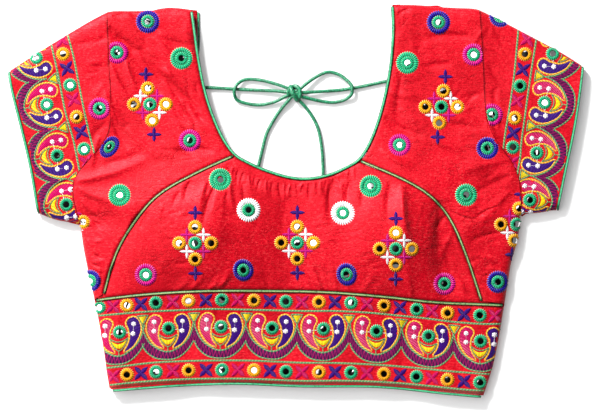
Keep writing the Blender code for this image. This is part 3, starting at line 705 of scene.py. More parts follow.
# %% The bow's knot
# Four strands run on through the knot from one cord into another, and three wraps hold them.
# Each wrap has its fatness, as a share of the cord's own, where the tube is pulled open. All
# places are in millimetres.
STRANDS = [
    [(-10.5, 106.6, 4.8), (-6, 105.8, 5.8), (-1, 104.4, 6.2), (4, 102.6, 5.6), (8, 101.2, 4.6)],
    [(8, 106.0, 4.8), (3, 105.6, 4.6), (-2, 104.6, 4.2), (-7, 103.0, 4.4), (-11, 101.5, 4.5)],
    [(-8, 110.2, 5.5), (-3.5, 108.6, 5.6), (0, 105, 4.6), (2, 101.5, 3.8), (4.2, 97.6, 3.8)],
    [(5.6, 110.4, 5.4), (1.5, 107.8, 4.4), (-2, 104, 3.4), (-4.6, 100.8, 3.6), (-7.4, 97.2, 3.8)],
]
WRAPS = [
    (1.45, [(-4.6, 111.4, 4.2), (-4.4, 109.3, 6.9), (-2.2, 105.0, 8.2), (0.4, 100.6, 6.8),
            (1.8, 98.4, 4.4), (0.6, 100.2, 2.6), (-1.6, 104.6, 2.4), (-3.8, 109.4, 2.6)]),
    (1.25, [(-1.6, 112.0, 4.4), (2.0, 111.2, 6.4), (4.4, 107.2, 6.8), (4.3, 102.6, 6.2),
            (2.5, 99.8, 4.5), (2.9, 102.6, 2.5), (3.4, 107.0, 2.4), (1.4, 110.4, 2.6)]),
    (1.00, [(-6.6, 103.4, 5.0), (-6.7, 106.8, 6.4), (-5.2, 109.8, 6.8), (-2.4, 111.8, 5.8),
            (-0.8, 110.8, 3.6), (-3.6, 108.6, 2.4), (-5.6, 105.4, 2.3), (-6.2, 102.9, 3.2)]),
]
STRAND_STEPS, WRAP_STEPS = 24, 44
knot_parts = []
for number, strand in enumerate(STRANDS):
    strand_line = evenly(smooth(np.array(strand) * MM), STRAND_STEPS)
    knot_parts.append(tube(f"strand_{number}", strand_line, DORI_DIAMETER / 2))
for number, (fatness, wrap) in enumerate(WRAPS):
    # the curve runs a little past both ends, so that the closed wrap has no corner
    long_line = smooth(np.array([wrap[-1], *wrap, wrap[0], wrap[1]]) * MM)
    wrap_line = evenly(long_line[PER_SPAN:-PER_SPAN], WRAP_STEPS)
    knot_parts.append(tube(f"wrap_{number}", wrap_line, DORI_DIAMETER / 2 * fatness, closed=True))


def joined(name, pieces):
    only(pieces[0])
    for piece in pieces[1:]:
        piece.select_set(True)
    if len(pieces) > 1:
        bpy.ops.object.join()
    result = bpy.context.object
    result.name = name
    result.data.name = name
    return result


def finished(piece, material, replaces=()):
    piece.data.materials.clear()
    piece.data.materials.append(material)
    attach(piece, "root")
    if replaces:
        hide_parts(*replaces)
    return piece


bow_knot = finished(joined("bow_knot", knot_parts), GREEN_SATIN, ["dori_knot"])
print("bow knot faces:", len(bow_knot.data.polygons))

# %% The six stretches of cord and the knots at the tails' ends
END_KNOT_RING, END_KNOT_THICKNESS = 1.5 * MM, 1.6 * MM
for name, line in LINES_OF_CORD.items():
    kind = name.split("_")[-1]
    cord = finished(tube(name + "_cord", line, DORI_DIAMETER / 2), GREEN_SATIN,
                    [name])
    on_it = [bow_knot]
    if kind == "tail":
        curl = [line[-1] + np.array([math.cos(a), math.sin(a), 0]) * END_KNOT_RING
                for a in np.linspace(0, 2 * math.pi, 17)]
        end_knot = tube(name + "_end_knot", np.array(curl), END_KNOT_THICKNESS, closed=True)
        on_it = [finished(end_knot, GREEN_SATIN)]
print("cords:", len(LINES_OF_CORD))

# %% [markdown]
# ## Folds and creases
#
# Cloth that has been worn, folded and laid down again keeps its folds. A fold is pinched where it
# starts, at a seam or an underarm, and opens out and dies away from there. One of its walls is
# steeper than the other. The long folds are given from one place on the layout sheet to another,
# with a half width and a lift in millimetres. Short wrinkles are strewn over zones that each have
# their own direction, and little puckers hang from the piped neckline.

# %% The long folds
# u and v of the pinch, u and v of the end, half width and lift in millimetres.
FOLDS = [
    # left strap and shoulder
    (197, 110, 148, 66, 3.2, -2.9), (202, 121, 172, 90, 2.4, -1.3), (109, 26, 138, 52, 3.8, -3.2),
    (138, 48, 172, 88, 3.4, -2.6), (150, 32, 198, 46, 2.6, -1.7), (166, 78, 200, 124, 2.8, -2.2),
    (186, 86, 206, 126, 2.2, -1.8), (126, 60, 140, 94, 3.2, 2.3), (128, 50, 186, 100, 8.0, -3.6),
    (116, 34, 150, 58, 6.0, -2.4), (104, 88, 124, 128, 5.0, 2.4),
    (112, 16, 128, 11, 2.4, -1.0), (111, 64, 134, 104, 4.6, 2.3), (206, 134, 168, 122, 3.0, 1.4),
    (213, 150, 170, 152, 4.0, -2.4), (186, 24, 198, 58, 2.6, 1.6), (160, 30, 172, 62, 3.0, 1.5),
    (130, 12, 168, 34, 3.4, -1.8), (165, 66, 190, 96, 3.6, 1.9), (126, 128, 160, 158, 4.6, 2.2),
    (112, 118, 128, 150, 3.4, -1.9), (176, 118, 160, 92, 2.6, 1.3),
    # left underarm and side
    (73, 182, 150, 157, 5.4, 2.8), (75, 187, 120, 203, 4.2, 2.3), (80, 200, 114, 224, 4.0, 1.8),
    (84, 222, 106, 242, 3.0, -1.4), (104, 163, 150, 148, 4.5, -1.8), (95, 292, 100, 262, 2.2, 1.2),
    # left bust, beside the princess seam
    (143, 212, 116, 262, 5.0, -2.0), (116, 262, 106, 294, 4.0, -1.8),
    (148, 212, 141, 230, 2.2, -1.2), (191, 180, 184, 202, 2.8, -1.9),
    (180, 191, 172, 209, 2.0, -1.3), (164, 203, 160, 224, 2.4, 1.1),
    (190, 290, 206, 274, 2.2, 1.3), (176, 291, 190, 279, 1.8, 1.1),
    # under the neckline
    (228, 176, 222, 290, 15.0, 3.0), (286, 196, 288, 292, 16.0, -2.2),
    (215, 186, 203, 228, 3.0, -2.9), (207, 181, 200, 214, 3.6, 2.0), (231, 180, 235, 214, 3.4, 2.3),
    (243, 182, 246, 204, 2.4, -1.3), (331, 179, 331, 228, 3.2, -2.6), (342, 181, 345, 214, 3.6, 1.9),
    (350, 180, 347, 200, 2.2, -1.7), (366, 178, 361, 210, 3.0, -1.5),
    # above the band
    (217, 290, 233, 267, 2.4, 2.1), (206, 291, 223, 277, 2.0, 1.5), (322, 291, 308, 264, 2.6, 1.7),
    (337, 292, 330, 266, 2.2, 1.3), (268, 290, 262, 272, 2.4, -0.9), (362, 293, 376, 268, 3.0, 1.2),
    # right bust
    (402, 184, 412, 250, 4.4, 2.9), (405, 180, 414, 300, 9.0, 2.6),
    (440, 200, 447, 300, 11.0, -4.0), (390, 182, 387, 224, 3.6, -1.8),
    (448, 213, 433, 232, 2.0, -1.7), (452, 234, 438, 266, 3.2, 1.5), (412, 298, 404, 270, 2.6, 1.4),
    (466, 296, 452, 268, 3.4, 1.5),
    # right strap
    (393, 6, 399, 70, 4.6, -1.9), (470, 36, 416, 38, 3.2, -2.3), (452, 63, 422, 67, 3.0, -2.2),
    (384, 117, 426, 137, 3.6, -2.4), (379, 149, 414, 169, 3.4, 2.2), (402, 74, 398, 128, 4.0, -1.6),
    (476, 128, 440, 124, 3.4, -1.8), (430, 138, 462, 150, 4.0, 2.0), (410, 8, 396, 16, 1.8, -1.2),
    (388, 92, 424, 98, 3.2, 1.1), (484, 92, 452, 104, 3.2, -1.1), (488, 26, 470, 52, 2.8, 1.0),
    # right underarm and side
    (487, 121, 508, 152, 4.0, 2.2), (512, 160, 452, 178, 4.8, 1.7), (513, 174, 460, 206, 4.8, -1.6),
    (498, 206, 472, 220, 1.9, -1.6), (449, 210, 477, 220, 1.7, -1.5),
    (497, 233, 468, 242, 1.8, -1.4), (499, 286, 479, 282, 1.7, -1.3),
    (512, 190, 478, 232, 4.4, 1.4), (497, 262, 474, 256, 2.2, 1.2), (500, 150, 462, 150, 4.0, -1.1),
    # sleeves
    (107, 39, 70, 47, 2.6, -1.2), (107, 122, 88, 142, 3.4, -1.5), (106, 82, 92, 106, 2.6, 1.3),
    (70, 60, 40, 82, 3.0, 0.8), (72, 176, 44, 190, 3.0, 1.0), (100, 136, 92, 172, 2.6, 1.6),
    (488, 62, 506, 92, 2.6, -1.4), (490, 100, 502, 132, 2.6, 1.3), (497, 34, 512, 60, 2.4, -1.1),
    (540, 70, 566, 84, 3.0, 0.8), (530, 180, 552, 196, 3.0, 0.9),
    # band
    (150, 300, 158, 380, 4.0, -0.9), (214, 300, 220, 372, 3.2, 0.9), (330, 300, 336, 380, 4.0, -0.8),
    (404, 304, 398, 380, 3.6, 0.8), (452, 310, 462, 386, 3.2, -1.0), (120, 304, 124, 384, 3.0, 0.7),
]

# %% Zones of short wrinkles
# u and v, the spread in each, direction in degrees, how many, and their lift in millimetres.
ZONES = [
    (170, 72, 26, 40, -42, 20, 0.75), (190, 112, 10, 26, -48, 16, 0.75),
    (130, 40, 16, 20, -35, 10, 0.7),
    (120, 110, 10, 34, -60, 8, 0.6), (180, 150, 26, 12, -8, 10, 0.6), (97, 262, 5, 22, -14, 12, 0.8),
    (96, 232, 8, 14, -22, 7, 0.7), (176, 226, 14, 14, 4, 12, 0.55), (172, 266, 16, 10, 4, 10, 0.6),
    (140, 240, 12, 22, -80, 8, 0.5), (220, 200, 14, 16, -100, 8, 0.6), (222, 278, 14, 10, 44, 8, 0.7),
    (340, 232, 20, 20, 6, 12, 0.5), (360, 268, 20, 14, 8, 10, 0.5), (318, 278, 12, 10, -56, 7, 0.7),
    (420, 224, 14, 20, -96, 8, 0.6), (452, 256, 12, 22, -70, 8, 0.6), (478, 216, 16, 18, 18, 12, 0.5),
    (482, 258, 12, 18, 6, 12, 0.7), (488, 172, 14, 10, 14, 8, 0.4), (430, 60, 28, 34, 6, 16, 0.6),
    (400, 40, 6, 34, 80, 8, 0.6), (404, 120, 18, 22, -28, 12, 0.65), (460, 96, 18, 30, 20, 12, 0.6),
    (98, 70, 8, 34, 8, 12, 0.65), (92, 120, 8, 20, -50, 8, 0.7), (498, 70, 8, 40, -70, 12, 0.65),
    (496, 126, 8, 20, -60, 8, 0.7), (60, 110, 16, 60, 70, 10, 0.35), (540, 110, 14, 60, 100, 10, 0.35),
    (300, 305, 180, 8, 88, 30, 0.4), (300, 345, 180, 26, 85, 26, 0.35), (270, 240, 30, 30, -80, 8, 0.4),
]
SCATTER = 16               # degrees that wrinkles stray from their zone's direction
strewn = np.random.default_rng(7)
WRINKLES = []
for u, v, spread_u, spread_v, way, count, lift in ZONES:
    for _ in range(count):
        mid_u, mid_v = u + spread_u * strewn.uniform(-1, 1), v + spread_v * strewn.uniform(-1, 1)
        angle = math.radians(way + strewn.normal(0, SCATTER))
        half = strewn.uniform(4, 11)
        step_u, step_v = half * math.cos(angle), -half * math.sin(angle)
        WRINKLES.append((mid_u - step_u, mid_v - step_v, mid_u + step_u, mid_v + step_v,
                         strewn.uniform(0.9, 1.6), lift * strewn.choice((-1, -1, 1))
                         * strewn.uniform(0.6, 1.5)))
# puckers that hang from the piped neckline
NECKLINE = [(228, 163), (240, 171), (254, 177), (270, 181), (290, 183.5), (310, 183), (328, 179),
            (342, 173), (354, 166)]
PUCKERS = 22
for u, v in evenly(smooth(NECKLINE), PUCKERS):
    WRINKLES.append((u, v, u + strewn.uniform(-4, 4), v + strewn.uniform(8, 20),
                     strewn.uniform(1.1, 1.7), strewn.uniform(0.6, 1.3) * strewn.choice((-1, 1))))
print("folds:", len(FOLDS), "wrinkles:", len(WRINKLES))


# %% Fields that lift the cloth
PINCH_PEAK = 2.88          # brings the highest point of a fold back to its lift
SKEW = 0.35                # how much steeper one wall of a fold is
BOW = 0.05                 # how far a fold bows sideways, as a share of its length


def crease_field(x, y):
    """How far the folds and wrinkles lift the upper cloth at arrays x and y, in metres."""
    lift = np.zeros(len(x))
    for u0, v0, u1, v1, half_width, height in FOLDS + WRINKLES:
        ax, ay = metres(u0, v0)
        bx, by = metres(u1, v1)
        length = math.hypot(bx - ax, by - ay)
        reach = length * 0.6 + half_width * 5 * MM
        near = np.hypot(x - (ax + bx) / 2, y - (ay + by) / 2) < reach
        dx, dy = (bx - ax) / length, (by - ay) / length
        share = np.clip(((x[near] - ax) * dx + (y[near] - ay) * dy) / length, 0, 1)
        off = (y[near] - ay) * dx - (x[near] - ax) * dy
        off += BOW * length * np.sin(math.pi * share)
        fade = PINCH_PEAK * share ** 0.6 * (1 - share)
        width = half_width * MM * (0.6 + 0.8 * share)
        # the steep wall is the one that looks down and to the right, away from the light
        faces_away = (-dy - dx > 0) == (height > 0)
        steep_side = off > 0 if faces_away else off < 0
        width = width * np.where(steep_side, 1 - SKEW, 1 + SKEW)
        lift[near] += height * MM * fade * np.exp(-np.abs(off / width) ** 1.5)
    return lift


def crumple(x, y):
    """Fine unevenness, stronger in some places than in others, in metres."""
    out = np.empty(len(x))
    for k, (px, py) in enumerate(zip(x, y)):
        spot = Vector((px, py, 0))
        amount = 0.5 + 0.9 * noise.noise(spot * 14)
        slow = noise.noise(spot * 38)
        fine = noise.noise(Vector((px * 90, py * 130, 3)))
        ridge = abs(noise.noise(Vector((px * 62, py * 48, 7))))
        out[k] = 0.55 * slow + max(0.0, amount) * (0.26 * fine - 0.7 * ridge + 0.14)
    return out * MM


def smoothstep(value, low, high):
    t = np.clip((value - low) / (high - low), 0, 1)
    return t * t * (3 - 2 * t)


print("highest lift of a wrinkle:", round(max(abs(w[-1]) for w in WRINKLES), 2), "mm")

# %% [markdown]
# ## The cloth panels
#
# Every panel keeps the form of its solid. A copy of the solid's mesh has its loose triangles
# merged and joined into quads, its edges creased, and a Subdivision Surface makes it smooth. Then
# both faces of the cloth move up or down together by the crease field, so the wall keeps its
# thickness. The fields fade out where the cloth rolls over to the underside.

# %% From solid to cloth
SHARP = math.radians(50)
PANELS = {
    "front_centre": 3, "front_side_left": 3, "front_side_right": 3, "front_band": 3,
    "sleeve_left": 3, "sleeve_right": 3, "back_left": 2, "back_right": 2,
}


def softened(node, name, levels):
    """A merged, smooth copy of a CAD node."""
    piece = in_scene(name, frame["nodes"][node].data.copy())
    piece.data.name = name
    only(piece)
    if piece.data.has_custom_normals:
        bpy.ops.mesh.customdata_custom_splitnormals_clear()
    bpy.ops.object.mode_set(mode="EDIT")
    bpy.ops.mesh.select_mode(type="EDGE")
    bpy.ops.mesh.select_all(action="SELECT")
    bpy.ops.mesh.remove_doubles(threshold=MERGED)
    bpy.ops.mesh.tris_convert_to_quads(face_threshold=math.radians(40),
                                       shape_threshold=math.radians(60))
    bpy.ops.mesh.select_all(action="DESELECT")
    bpy.ops.mesh.edges_select_sharp(sharpness=SHARP)
    bpy.ops.transform.edge_crease(value=1.0)
    bpy.ops.object.mode_set(mode="OBJECT")
    smoother = piece.modifiers.new("smooth", "SUBSURF")
    smoother.levels = smoother.render_levels = levels
    return applied(piece, smoother)


print("panels:", len(PANELS))

# %% Seams and their shade
DITCH_DEPTH, DITCH_WIDTH = 0.9 * MM, 1.5 * MM
SHADE_WIDTH, ARMHOLE_SHADE = 1.1 * MM, 0.8 * MM


def solids_tree(nodes):
    """One tree of the faces of some CAD nodes."""
    points, faces = [], []
    for node in nodes:
        solid = frame["nodes"][node].data
        first = len(points)
        points += [vert.co.copy() for vert in solid.vertices]
        faces += [[first + k for k in face.vertices] for face in solid.polygons]
    return BVHTree.FromPolygons(points, faces)


def distances(places, tree):
    return np.array([tree.find_nearest(place)[3] for place in places])


PIPED = solids_tree([node for node in frame["nodes"]
                     if node.startswith(("princess", "band_piping", "neck_piping_front"))])
ARMHOLE_MATES = {"front_side_left": "sleeve_left", "front_side_right": "sleeve_right",
                 "sleeve_left": "front_side_left", "sleeve_right": "front_side_right"}


def shade_seams(node, mesh):
    """Note at each vertex how deep it lies in a seam, for the painted shade in the silk's colour."""
    places = coordinates(mesh)
    shade = np.exp(-(distances(places, PIPED) / SHADE_WIDTH) ** 2)
    if node in ARMHOLE_MATES:
        away = distances(places, solids_tree([ARMHOLE_MATES[node]]))
        shade = np.maximum(shade, np.exp(-(away / ARMHOLE_SHADE) ** 2))
    mesh.attributes.new(SEAM_SHADE, "FLOAT", "POINT").data.foreach_set("value", shade)


print("armhole seams:", len(ARMHOLE_MATES) // 2)


# %% Lifting the cloth
def creased(mesh, upper=(5.7, 9.0), sewn_down=False):
    """The upper cloth follows the creases. upper gives the heights, in millimetres, at which
    it starts to and where it does in full, so the roll to the underside stays in place."""
    places = coordinates(mesh)
    x, y, z = places.T
    share = smoothstep(z, upper[0] * MM, upper[1] * MM)
    lift = crease_field(x, y) + crumple(x, y)
    if sewn_down:
        # the cloth is pulled down where it is sewn to the piping
        lift -= DITCH_DEPTH * np.exp(-(distances(places, PIPED) / DITCH_WIDTH) ** 2)
    places[:, 2] += share * lift
    move_vertices(mesh, places)


LOWER_WAVE = 3.2 * MM


def rumpled_below(mesh, seed):
    """The lower cloth rises off the floor here and there, and never sinks into it."""
    places = coordinates(mesh)
    x, y, z = places.T
    share = 1 - smoothstep(z, 1.7 * MM, 3.2 * MM)
    # the lap at the centre back stays flat
    share *= smoothstep(np.abs(x), 28 * MM, 44 * MM)
    waves = np.array([noise.noise(Vector((px * 16 + py * 20, py * 9 - px * 6, seed)))
                      for px, py in zip(x, y)])
    places[:, 2] += share * np.maximum(waves - 0.05, 0) * LOWER_WAVE
    move_vertices(mesh, places)


print("lower waves:", round(LOWER_WAVE / MM, 1), "mm")

# %% [markdown]
# ## Seam allowances
#
# Where panels are sewn together, each has a strip that is turned in and hides under the others.
# Without it, light would show through at the piping. Only the allowances that can be seen into
# are made here: one at the lower end of each princess seam, and one along the neck, caught under
# its piping. Each is a grid that is laid just under the cloth by rays from above, and gets a
# wall from Solidify.

# %% Allowances at the princess seams' ends
SKY, DOWN = 0.2, Vector((0, 0, -1))     # rays start at this height and fall straight down
SEAM_ENDS = {"front_side_left": [(98, 290), (111, 290), (98, 302), (111, 302)],
             "front_side_right": [(477, 296), (491, 296), (477, 308), (491, 308)]}
TUCKED = 0.8 * MM         # how far a seam allowance lies under the cloth's face
UNDER_PIPING = 1.4 * MM   # and under the crest of the piping
FLAP_WALL, FLAP_ROWS = 0.4 * MM, 7


def tree_of(piece):
    return BVHTree.FromPolygons([v.co for v in piece.data.vertices],
                                [p.vertices for p in piece.data.polygons])


def tucked_under(points, trees, depth=TUCKED):
    """Heights that put a grid of x and y just under the face of the cloth above it."""
    heights = np.empty(points.shape[:2])
    for row in range(points.shape[0]):
        for column in range(points.shape[1]):
            x, y = points[row, column]
            hits = [tree.ray_cast(Vector((x, y, SKY)), DOWN)[0] for tree in trees]
            heights[row, column] = max((hit.z for hit in hits if hit), default=np.nan)
    for column in range(points.shape[1]):
        known = ~np.isnan(heights[:, column])
        if not known.any():
            heights[:, column] = heights[:, column - 1] if column else np.nanmin(heights)
            continue
        rows = np.arange(len(heights))
        heights[:, column] = np.interp(rows, rows[known], heights[known, column])
    return np.dstack([points, heights - depth])


def thickened(piece):
    """A flap of cloth with two faces, so that it is a wall like the panels."""
    wall = piece.modifiers.new("wall", "SOLIDIFY")
    wall.thickness = FLAP_WALL
    return applied(piece, wall)


def seam_allowance(corners, trees):
    """A small turned-in flap that closes the place where three panels and the piping meet."""
    a, b, c, d = (np.array(metres(*corner)) for corner in corners)
    share = np.linspace(0, 1, FLAP_ROWS)
    s, t = np.meshgrid(share, share, indexing="ij")
    s, t = s[..., None], t[..., None]
    points = (a * (1 - s) + b * s) * (1 - t) + (c * (1 - s) + d * s) * t
    placed = tucked_under(points[:, ::-1], trees)
    return thickened(shaped_grid("seam_allowance", placed, np.arange(FLAP_ROWS)))


print("flap:", FLAP_ROWS, "rows")

# %% The neck's allowance
# The neck edge of the front, x and y in millimetres, from the left strap round to the right
NECK_EDGE = [(-100, 186), (-97, 166), (-93, 137), (-85, 100), (-71, 64), (-58, 45), (-31, 32),
             (2, 23), (32, 26.5), (61, 40), (72, 58), (83, 90), (91, 129), (94, 166), (93, 191)]
NECK_SPANS = {"front_side_left": (0, 5), "front_centre": (5, 9), "front_side_right": (9, 14)}
SPAN_ROWS = 14
NECK_TURN_IN = (8.6, 7.1, 5.6, 4.1, 2.5, 1.2)       # from under the cloth to under the piping


def neck_allowances(trees):
    """The turned-in edge of each front panel, caught under the piping round the neck."""
    line = smooth(np.array(NECK_EDGE) * MM, SPAN_ROWS)
    ahead = directions(line)
    outward = np.column_stack([ahead[:, 1], -ahead[:, 0]])
    offsets = np.array(NECK_TURN_IN) * MM
    points = line[:, None] + outward[:, None] * offsets[None, :, None]
    placed = tucked_under(points, trees)
    placed[:, -1:] = tucked_under(points[:, -1:], [PIPED], UNDER_PIPING)
    placed[:, -2, 2] = (placed[:, -3, 2] + placed[:, -1, 2]) / 2
    parts = {}
    for node, (first, last) in NECK_SPANS.items():
        rows = placed[first * SPAN_ROWS:last * SPAN_ROWS + 1]
        parts[node] = thickened(shaped_grid("neck_allowance", rows, np.arange(len(rows))))
    return parts


print("neck turn-in:", NECK_TURN_IN[0], "mm")

# %% Make the panels
CLOTH = {}
for seed, (node, levels) in enumerate(PANELS.items()):
    piece = softened(node, node + "_cloth", levels)
    if node.startswith("back"):
        rumpled_below(piece.data, seed)
    else:
        creased(piece.data, sewn_down=True)
        if node.startswith("sleeve"):
            rumpled_below(piece.data, seed)
    piece.data.shade_smooth()
    piece.data.set_sharp_from_angle(angle=SHARP)
    CLOTH[node] = piece
FRONTS = ["front_side_left", "front_centre", "front_side_right", "front_band"]
front_trees = [tree_of(CLOTH[node]) for node in FRONTS]
flaps = {node: [seam_allowance(corners, front_trees)] for node, corners in SEAM_ENDS.items()}
for node, flap in neck_allowances(front_trees).items():
    flaps.setdefault(node, []).append(flap)
for node, turned_in in flaps.items():
    CLOTH[node] = joined(node + "_cloth", [CLOTH[node], *turned_in])
for node, piece in CLOTH.items():
    shade_seams(node, piece.data)
    finished(piece, RED_SILK, [node])
    print(node, len(piece.data.polygons), "faces")

# %% Cloth areas beside their flat cuts
# Flat cut of what shows, in metres: width, length and the share of that rectangle it fills.
CUTS = {
    "front_centre": (0.400, 0.145, 0.62), "front_side": (0.150, 0.290, 0.60),
    "front_band": (0.405, 0.095, 0.97), "sleeve": (0.300, 0.125, 0.80),
    "back": (0.225, 0.375, 0.62),
}
for node in PANELS:
    width, length, share = CUTS[node.removesuffix("_left").removesuffix("_right")]
    area = sum(p.area for p in CLOTH[node].data.polygons) / 2
    print(node, "area", round(area * 1e4), "cm2, cut", round(width * length * share * 1e4))

# %% [markdown]
# ## Piping
#
# The piping is a bias strip of green satin folded over a cotton cord. It lies in the seams and
# round every edge. Each one is a softened copy of its solid, plumped back out by the little that
# smoothing takes off, and it rides up and down with the creases of the cloth beside it.

# %% Pipings
PIPINGS = ["neck_piping_front", "neck_piping_back_left", "neck_piping_back_right",
           "princess_piping_left", "princess_piping_right", "band_piping_top", "hem_piping",
           "cuff_piping_left", "cuff_piping_right"]
PLUMPER = {"neck_piping_front": 0.30 * MM, "cuff_piping_left": 0.25 * MM,
           "cuff_piping_right": 0.25 * MM}
USUAL_PLUMPER = 0.14 * MM
for node in PIPINGS:
    piece = softened(node, node + "_satin", 2)
    plump = piece.modifiers.new("plump", "DISPLACE")
    plump.strength = PLUMPER.get(node, USUAL_PLUMPER)
    plump.mid_level = 0
    applied(piece, plump)
    creased(piece.data, (7.0, 9.5))
    piece.data.shade_smooth()
    faded = node.startswith(("princess", "band"))
    finished(piece, OLIVE_PIPING if faded else GREEN_PIPING, [node])
print("pipings:", len(PIPINGS))

# %% [markdown]
# ## Embroidery templates
#
# The blouse carries shisha work. Small round mirrors are held by rings of buttonhole stitch, with
# paisleys, petals and scallops in satin stitch between them. Each kind of motif is drawn once as
# a flat template in squares of the layout sheet, padded in the middle as satin stitch is, and
# then copied to its places. A template's a runs to the right and its b runs down the sheet.

# %% Strips, rings and discs
STITCH, FILL_STITCH, COUCHED_STITCH = 1.1, 1.5, 1.6     # squares from one stitch to the next
SUNK = 0.06 * MM          # how far the edge of a stitched shape goes down into the cloth


def template(name, points, counts, closed=False):
    """A flat shape in squares whose third coordinate is its height in metres."""
    piece = shaped_grid(name, points, counts, closed)
    mesh = piece.data
    bpy.data.objects.remove(piece)
    return mesh


def strip(name, left, right, rise, across=3, stitch=STITCH):
    """Satin stitch from one edge line to the other, highest in the middle."""
    left, right = np.asarray(left, dtype=float), np.asarray(right, dtype=float)
    v = np.linspace(0, 1, across + 1)
    points = np.empty((len(left), across + 1, 3))
    points[:, :, :2] = left[:, None] + (right - left)[:, None] * v[None, :, None]
    points[:, :, 2] = (rise + SUNK) * np.sqrt(np.clip(1 - (2 * v - 1) ** 2, 0, 1)) - SUNK
    return template(name, points, run_lengths((left + right) / 2) / stitch)


def line_strip(name, line, width, rise, across=2):
    """A couched thread of one width along a line."""
    line = np.asarray(line, dtype=float)
    ahead = directions(line)
    aside = np.column_stack([-ahead[:, 1], ahead[:, 0]]) * width / 2
    return strip(name, line - aside, line + aside, rise, across, COUCHED_STITCH)


def ring(name, inner, outer, stitches, tooth, heights):
    """Buttonhole stitch round a mirror: heights run from the inner edge to the outer one."""
    turns = np.linspace(0, 2 * math.pi, 2 * stitches + 1)
    rim = outer + tooth * (np.arange(len(turns)) % 2)
    v = np.linspace(0, 1, len(heights))
    radius = inner + (rim[:, None] - inner) * v[None, :]
    high = np.broadcast_to(np.array(heights) * MM, radius.shape)
    points = np.stack([radius * np.cos(turns)[:, None], radius * np.sin(turns)[:, None], high],
                      axis=2)
    points[-1] = points[0]
    return template(name, points, np.arange(len(turns)) / 2, closed=True)


def disc(name, radius, segments, heights):
    return ring(name, 0.0, radius, segments // 2, 0.0, heights)


def petal(name, start, length, width, rise):
    """A slender pointed petal that grows from a flower's middle."""
    t = np.linspace(0, 1, 6)
    half = width / 2 * np.sin(math.pi * (0.06 + 0.94 * t) ** 0.85) ** 0.8
    half[-1] = 0.02
    a = start + (length - start) * t
    return strip(name, np.column_stack([a, half]), np.column_stack([a, -half]), rise, 3)


print("stitches:", STITCH, "squares apart")

# %% Templates of the single motifs
SMALL_RING = ring("small_ring", 3.0, 6.0, 20, 1.5, (0.60, 1.20, 1.30, 0.80, -0.06))
EYE_RING = ring("eye_ring", 2.9, 6.0, 20, 1.4, (0.60, 1.20, 1.30, 0.80, 0.05))
WIDE_RING = ring("wide_ring", 6.3, 10.4, 30, 1.4, (0.05, 0.80, 1.15, 0.85, -0.06))
GLASS = disc("glass", 3.7, 16, (0.50, 0.49, 0.46, 0.40))
DOT = disc("dot", 3.1, 12, (0.95, 0.75, -0.06))
ROW_PETAL = petal("row_petal", 0.2, 9.2, 4.9, 0.75 * MM)
SLIM_PETAL = petal("slim_petal", 0.0, 7.4, 3.1, 0.60 * MM)
print("small ring faces:", len(SMALL_RING.polygons), "petal faces:", len(ROW_PETAL.polygons))

# %% [markdown]
# ## The scallop
#
# The wide border repeats one motif. Two paisleys stand in a scallop and face a mirror, with a
# yellow crescent under it, and a purple band zigzagged with magenta swings below them. All of its
# lines are given from the middle of the motif, at the height of its mirror.

# %% Scallop outlines, in squares
PAISLEY_OUTER = [(-4.4, 20.6), (-9.3, 18.7), (-13.6, 15.9), (-17.3, 11), (-20.3, 5.5),
                 (-21.7, -0.6), (-20.9, -6.7), (-18.5, -11.6), (-14.2, -14.4)]
PAISLEY_INNER = [(-4.4, 20.6), (-4.7, 17.8), (-6.9, 14.7), (-8.7, 10.4), (-9.6, 6.1), (-9, 1.8),
                 (-8.4, -2.4), (-6.4, -6.1), (-6.2, -10.1), (-9.3, -13.5), (-14.2, -14.4)]
CRESCENT_TOP = [(-8.1, 8), (-4.2, 10.7), (0, 11.5), (4, 10.7), (7.3, 8)]
CRESCENT_FOOT = [(-8.1, 8), (-5.6, 13.2), (0, 17), (5.4, 13.2), (7.3, 8)]
LEAF_TOP = [(-8.8, 6.1), (-4.4, 8.9), (0.2, 9.8), (4.8, 8.9), (9.1, 6.4)]
LEAF_FOOT = [(-8.8, 6.1), (-6.9, 12.2), (-3.8, 15.9), (-0.1, 18.7), (3.6, 16.5), (6.9, 12.2),
             (9.1, 6.7)]
STEM = [(-0.1, 18.7), (-0.1, 21), (-0.1, 23.3)]
INNER_ARC = [(-25.8, -5.8), (-25.5, -1.2), (-23.7, 3.7), (-20.9, 9.8), (-16.7, 15.3),
             (-11.1, 19.6), (-5.6, 22.7), (0, 23.8), (5.4, 22.7), (11.5, 19.3), (17, 14.7),
             (20.7, 9.8), (23.5, 3.7), (25, -2.4), (25.6, -5.5)]
OUTER_ARC = [(-26.1, 13.5), (-23.7, 19.6), (-19.1, 25.1), (-13, 29.4), (-6.9, 31.2), (0, 31.8),
             (6.6, 31.2), (13.4, 28.2), (19.5, 22.7), (23.1, 17.8), (25.6, 13.5)]
SWAG_TOP = [(-25.7, 3.8), (-23.7, 4.4), *INNER_ARC[3:12], (23.5, 4.4), (25.6, 3.8)]
WHITE_DOTS = [(-13.9, -7.3), (-14.1, 2.1), (14.6, -7.0), (14.1, 2.8)]
TRIANGLE = ((-5.8, -14.5), (5.8, -14.5), (0, -4.6))
LINE_2, LINE_3 = -18.1, 34.2      # where the border's two lines run past the motif
MIRRORED_AT = 0.4                 # the blue paisley is the pink one turned over this line
EYE_AT = 0.6                      # the mirror between the paisleys


print("scallop height in squares:", LINE_3 - LINE_2)


# %% Strips of the scallop
def turned_over(points):
    return [(2 * MIRRORED_AT - a, b) for a, b in points]


def filled(name, one_side, other_side, rise, count=14, across=4):
    return strip(name, evenly(smooth(one_side), count), evenly(smooth(other_side), count), rise,
                 across, FILL_STITCH)


def round_the(name, one_side, other_side, width, rise, count=44):
    loop = np.vstack([smooth(one_side), smooth(other_side)[::-1][1:]])
    return line_strip(name, evenly(loop, count), width, rise)


